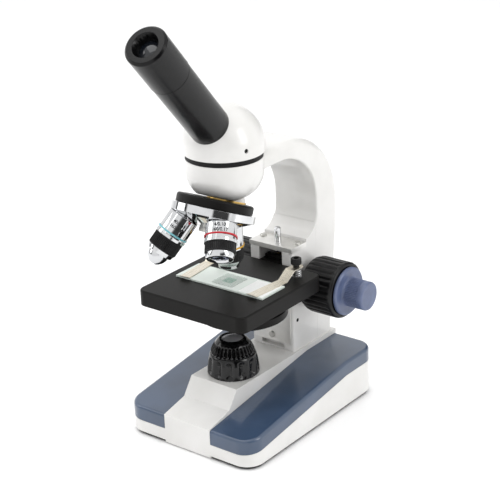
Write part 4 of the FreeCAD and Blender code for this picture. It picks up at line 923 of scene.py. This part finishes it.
def sky_sum(operation, first, second=0.0, third=0.0):
    inputs = {0: first, 1: second, 2: third}
    return add(sky, "ShaderNodeMath", inputs, operation=operation).outputs[0]


around = sky_sum("ARCTAN2", way["Y"], way["X"])
wave = sky_sum("COSINE", sky_sum("MULTIPLY_ADD", around, DARK_BANDS, BAND_TURN))
bands = {"Value": wave, "From Min": BAND_DARK, "From Max": BAND_BRIGHT, "To Min": WALL, "To Max": CEILING}
panels = add(sky, "ShaderNodeMapRange", bands, interpolation_type="SMOOTHSTEP")
heights = {"Value": way["Z"], "From Min": CEILING_STARTS, "From Max": CEILING_FULL}
lift = add(sky, "ShaderNodeMapRange", heights, interpolation_type="SMOOTHSTEP")
blend = {"Factor": lift.outputs["Result"], "A": panels.outputs["Result"], "B": CEILING}
glow = add(sky, "ShaderNodeMix", blend)
sky.links.new(glow.outputs[0], sky.nodes["Background"].inputs["Strength"])


def soft_light(name, place, target, size, power):
    lamp = bpy.data.lights.new(name, "AREA")
    lamp.shape = "RECTANGLE"
    lamp.size, lamp.size_y = size
    lamp.energy = power
    light = bpy.data.objects.new(name, lamp)
    light.location = place
    light.rotation_euler = (Vector(target) - Vector(place)).to_track_quat("-Z", "Y").to_euler()
    bpy.context.scene.collection.objects.link(light)


soft_light("overhead_light", (-0.2, -0.2, 1.5), (0, 0, 0.1), (1.2, 1.2), 7)
soft_light("left_light", (-1.2, -0.7, 0.7), (0, 0, 0.15), (0.7, 1.0), 5)
soft_light("right_light", (1.3, 0.2, 0.8), (0, 0, 0.15), (0.5, 1.0), 6)

CAMERA_PLACE = Vector((0.5665, -0.6934, 0.4855))
AZIMUTH, ELEVATION, ROLL = radians(38.53), radians(21.76), radians(2.16)
LENS_LENGTH = 102.06
back = Vector((sin(AZIMUTH) * cos(ELEVATION), -cos(AZIMUTH) * cos(ELEVATION), sin(ELEVATION)))
right = Vector((cos(AZIMUTH), sin(AZIMUTH), 0))
up = back.cross(right)
right_rolled = right * cos(ROLL) - up * sin(ROLL)
up_rolled = right * sin(ROLL) + up * cos(ROLL)
camera_data = bpy.data.cameras.new("camera")
camera_data.lens = LENS_LENGTH
camera_data.sensor_width = 36
camera_data.clip_start = 0.01
camera = bpy.data.objects.new("camera", camera_data)
turn = Matrix((right_rolled, up_rolled, back)).transposed().to_4x4()
camera.matrix_world = Matrix.Translation(CAMERA_PLACE) @ turn
bpy.context.scene.collection.objects.link(camera)
bpy.context.scene.camera = camera
bpy.context.scene.view_settings.view_transform = "Standard"
print("camera at", CAMERA_PLACE)

# %% [markdown]
# ## Sizes
# The box of the finished microscope, without the floor and the hidden pieces, is printed.

# %% Sizes and finish
low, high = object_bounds()
print("finished box", low, high)
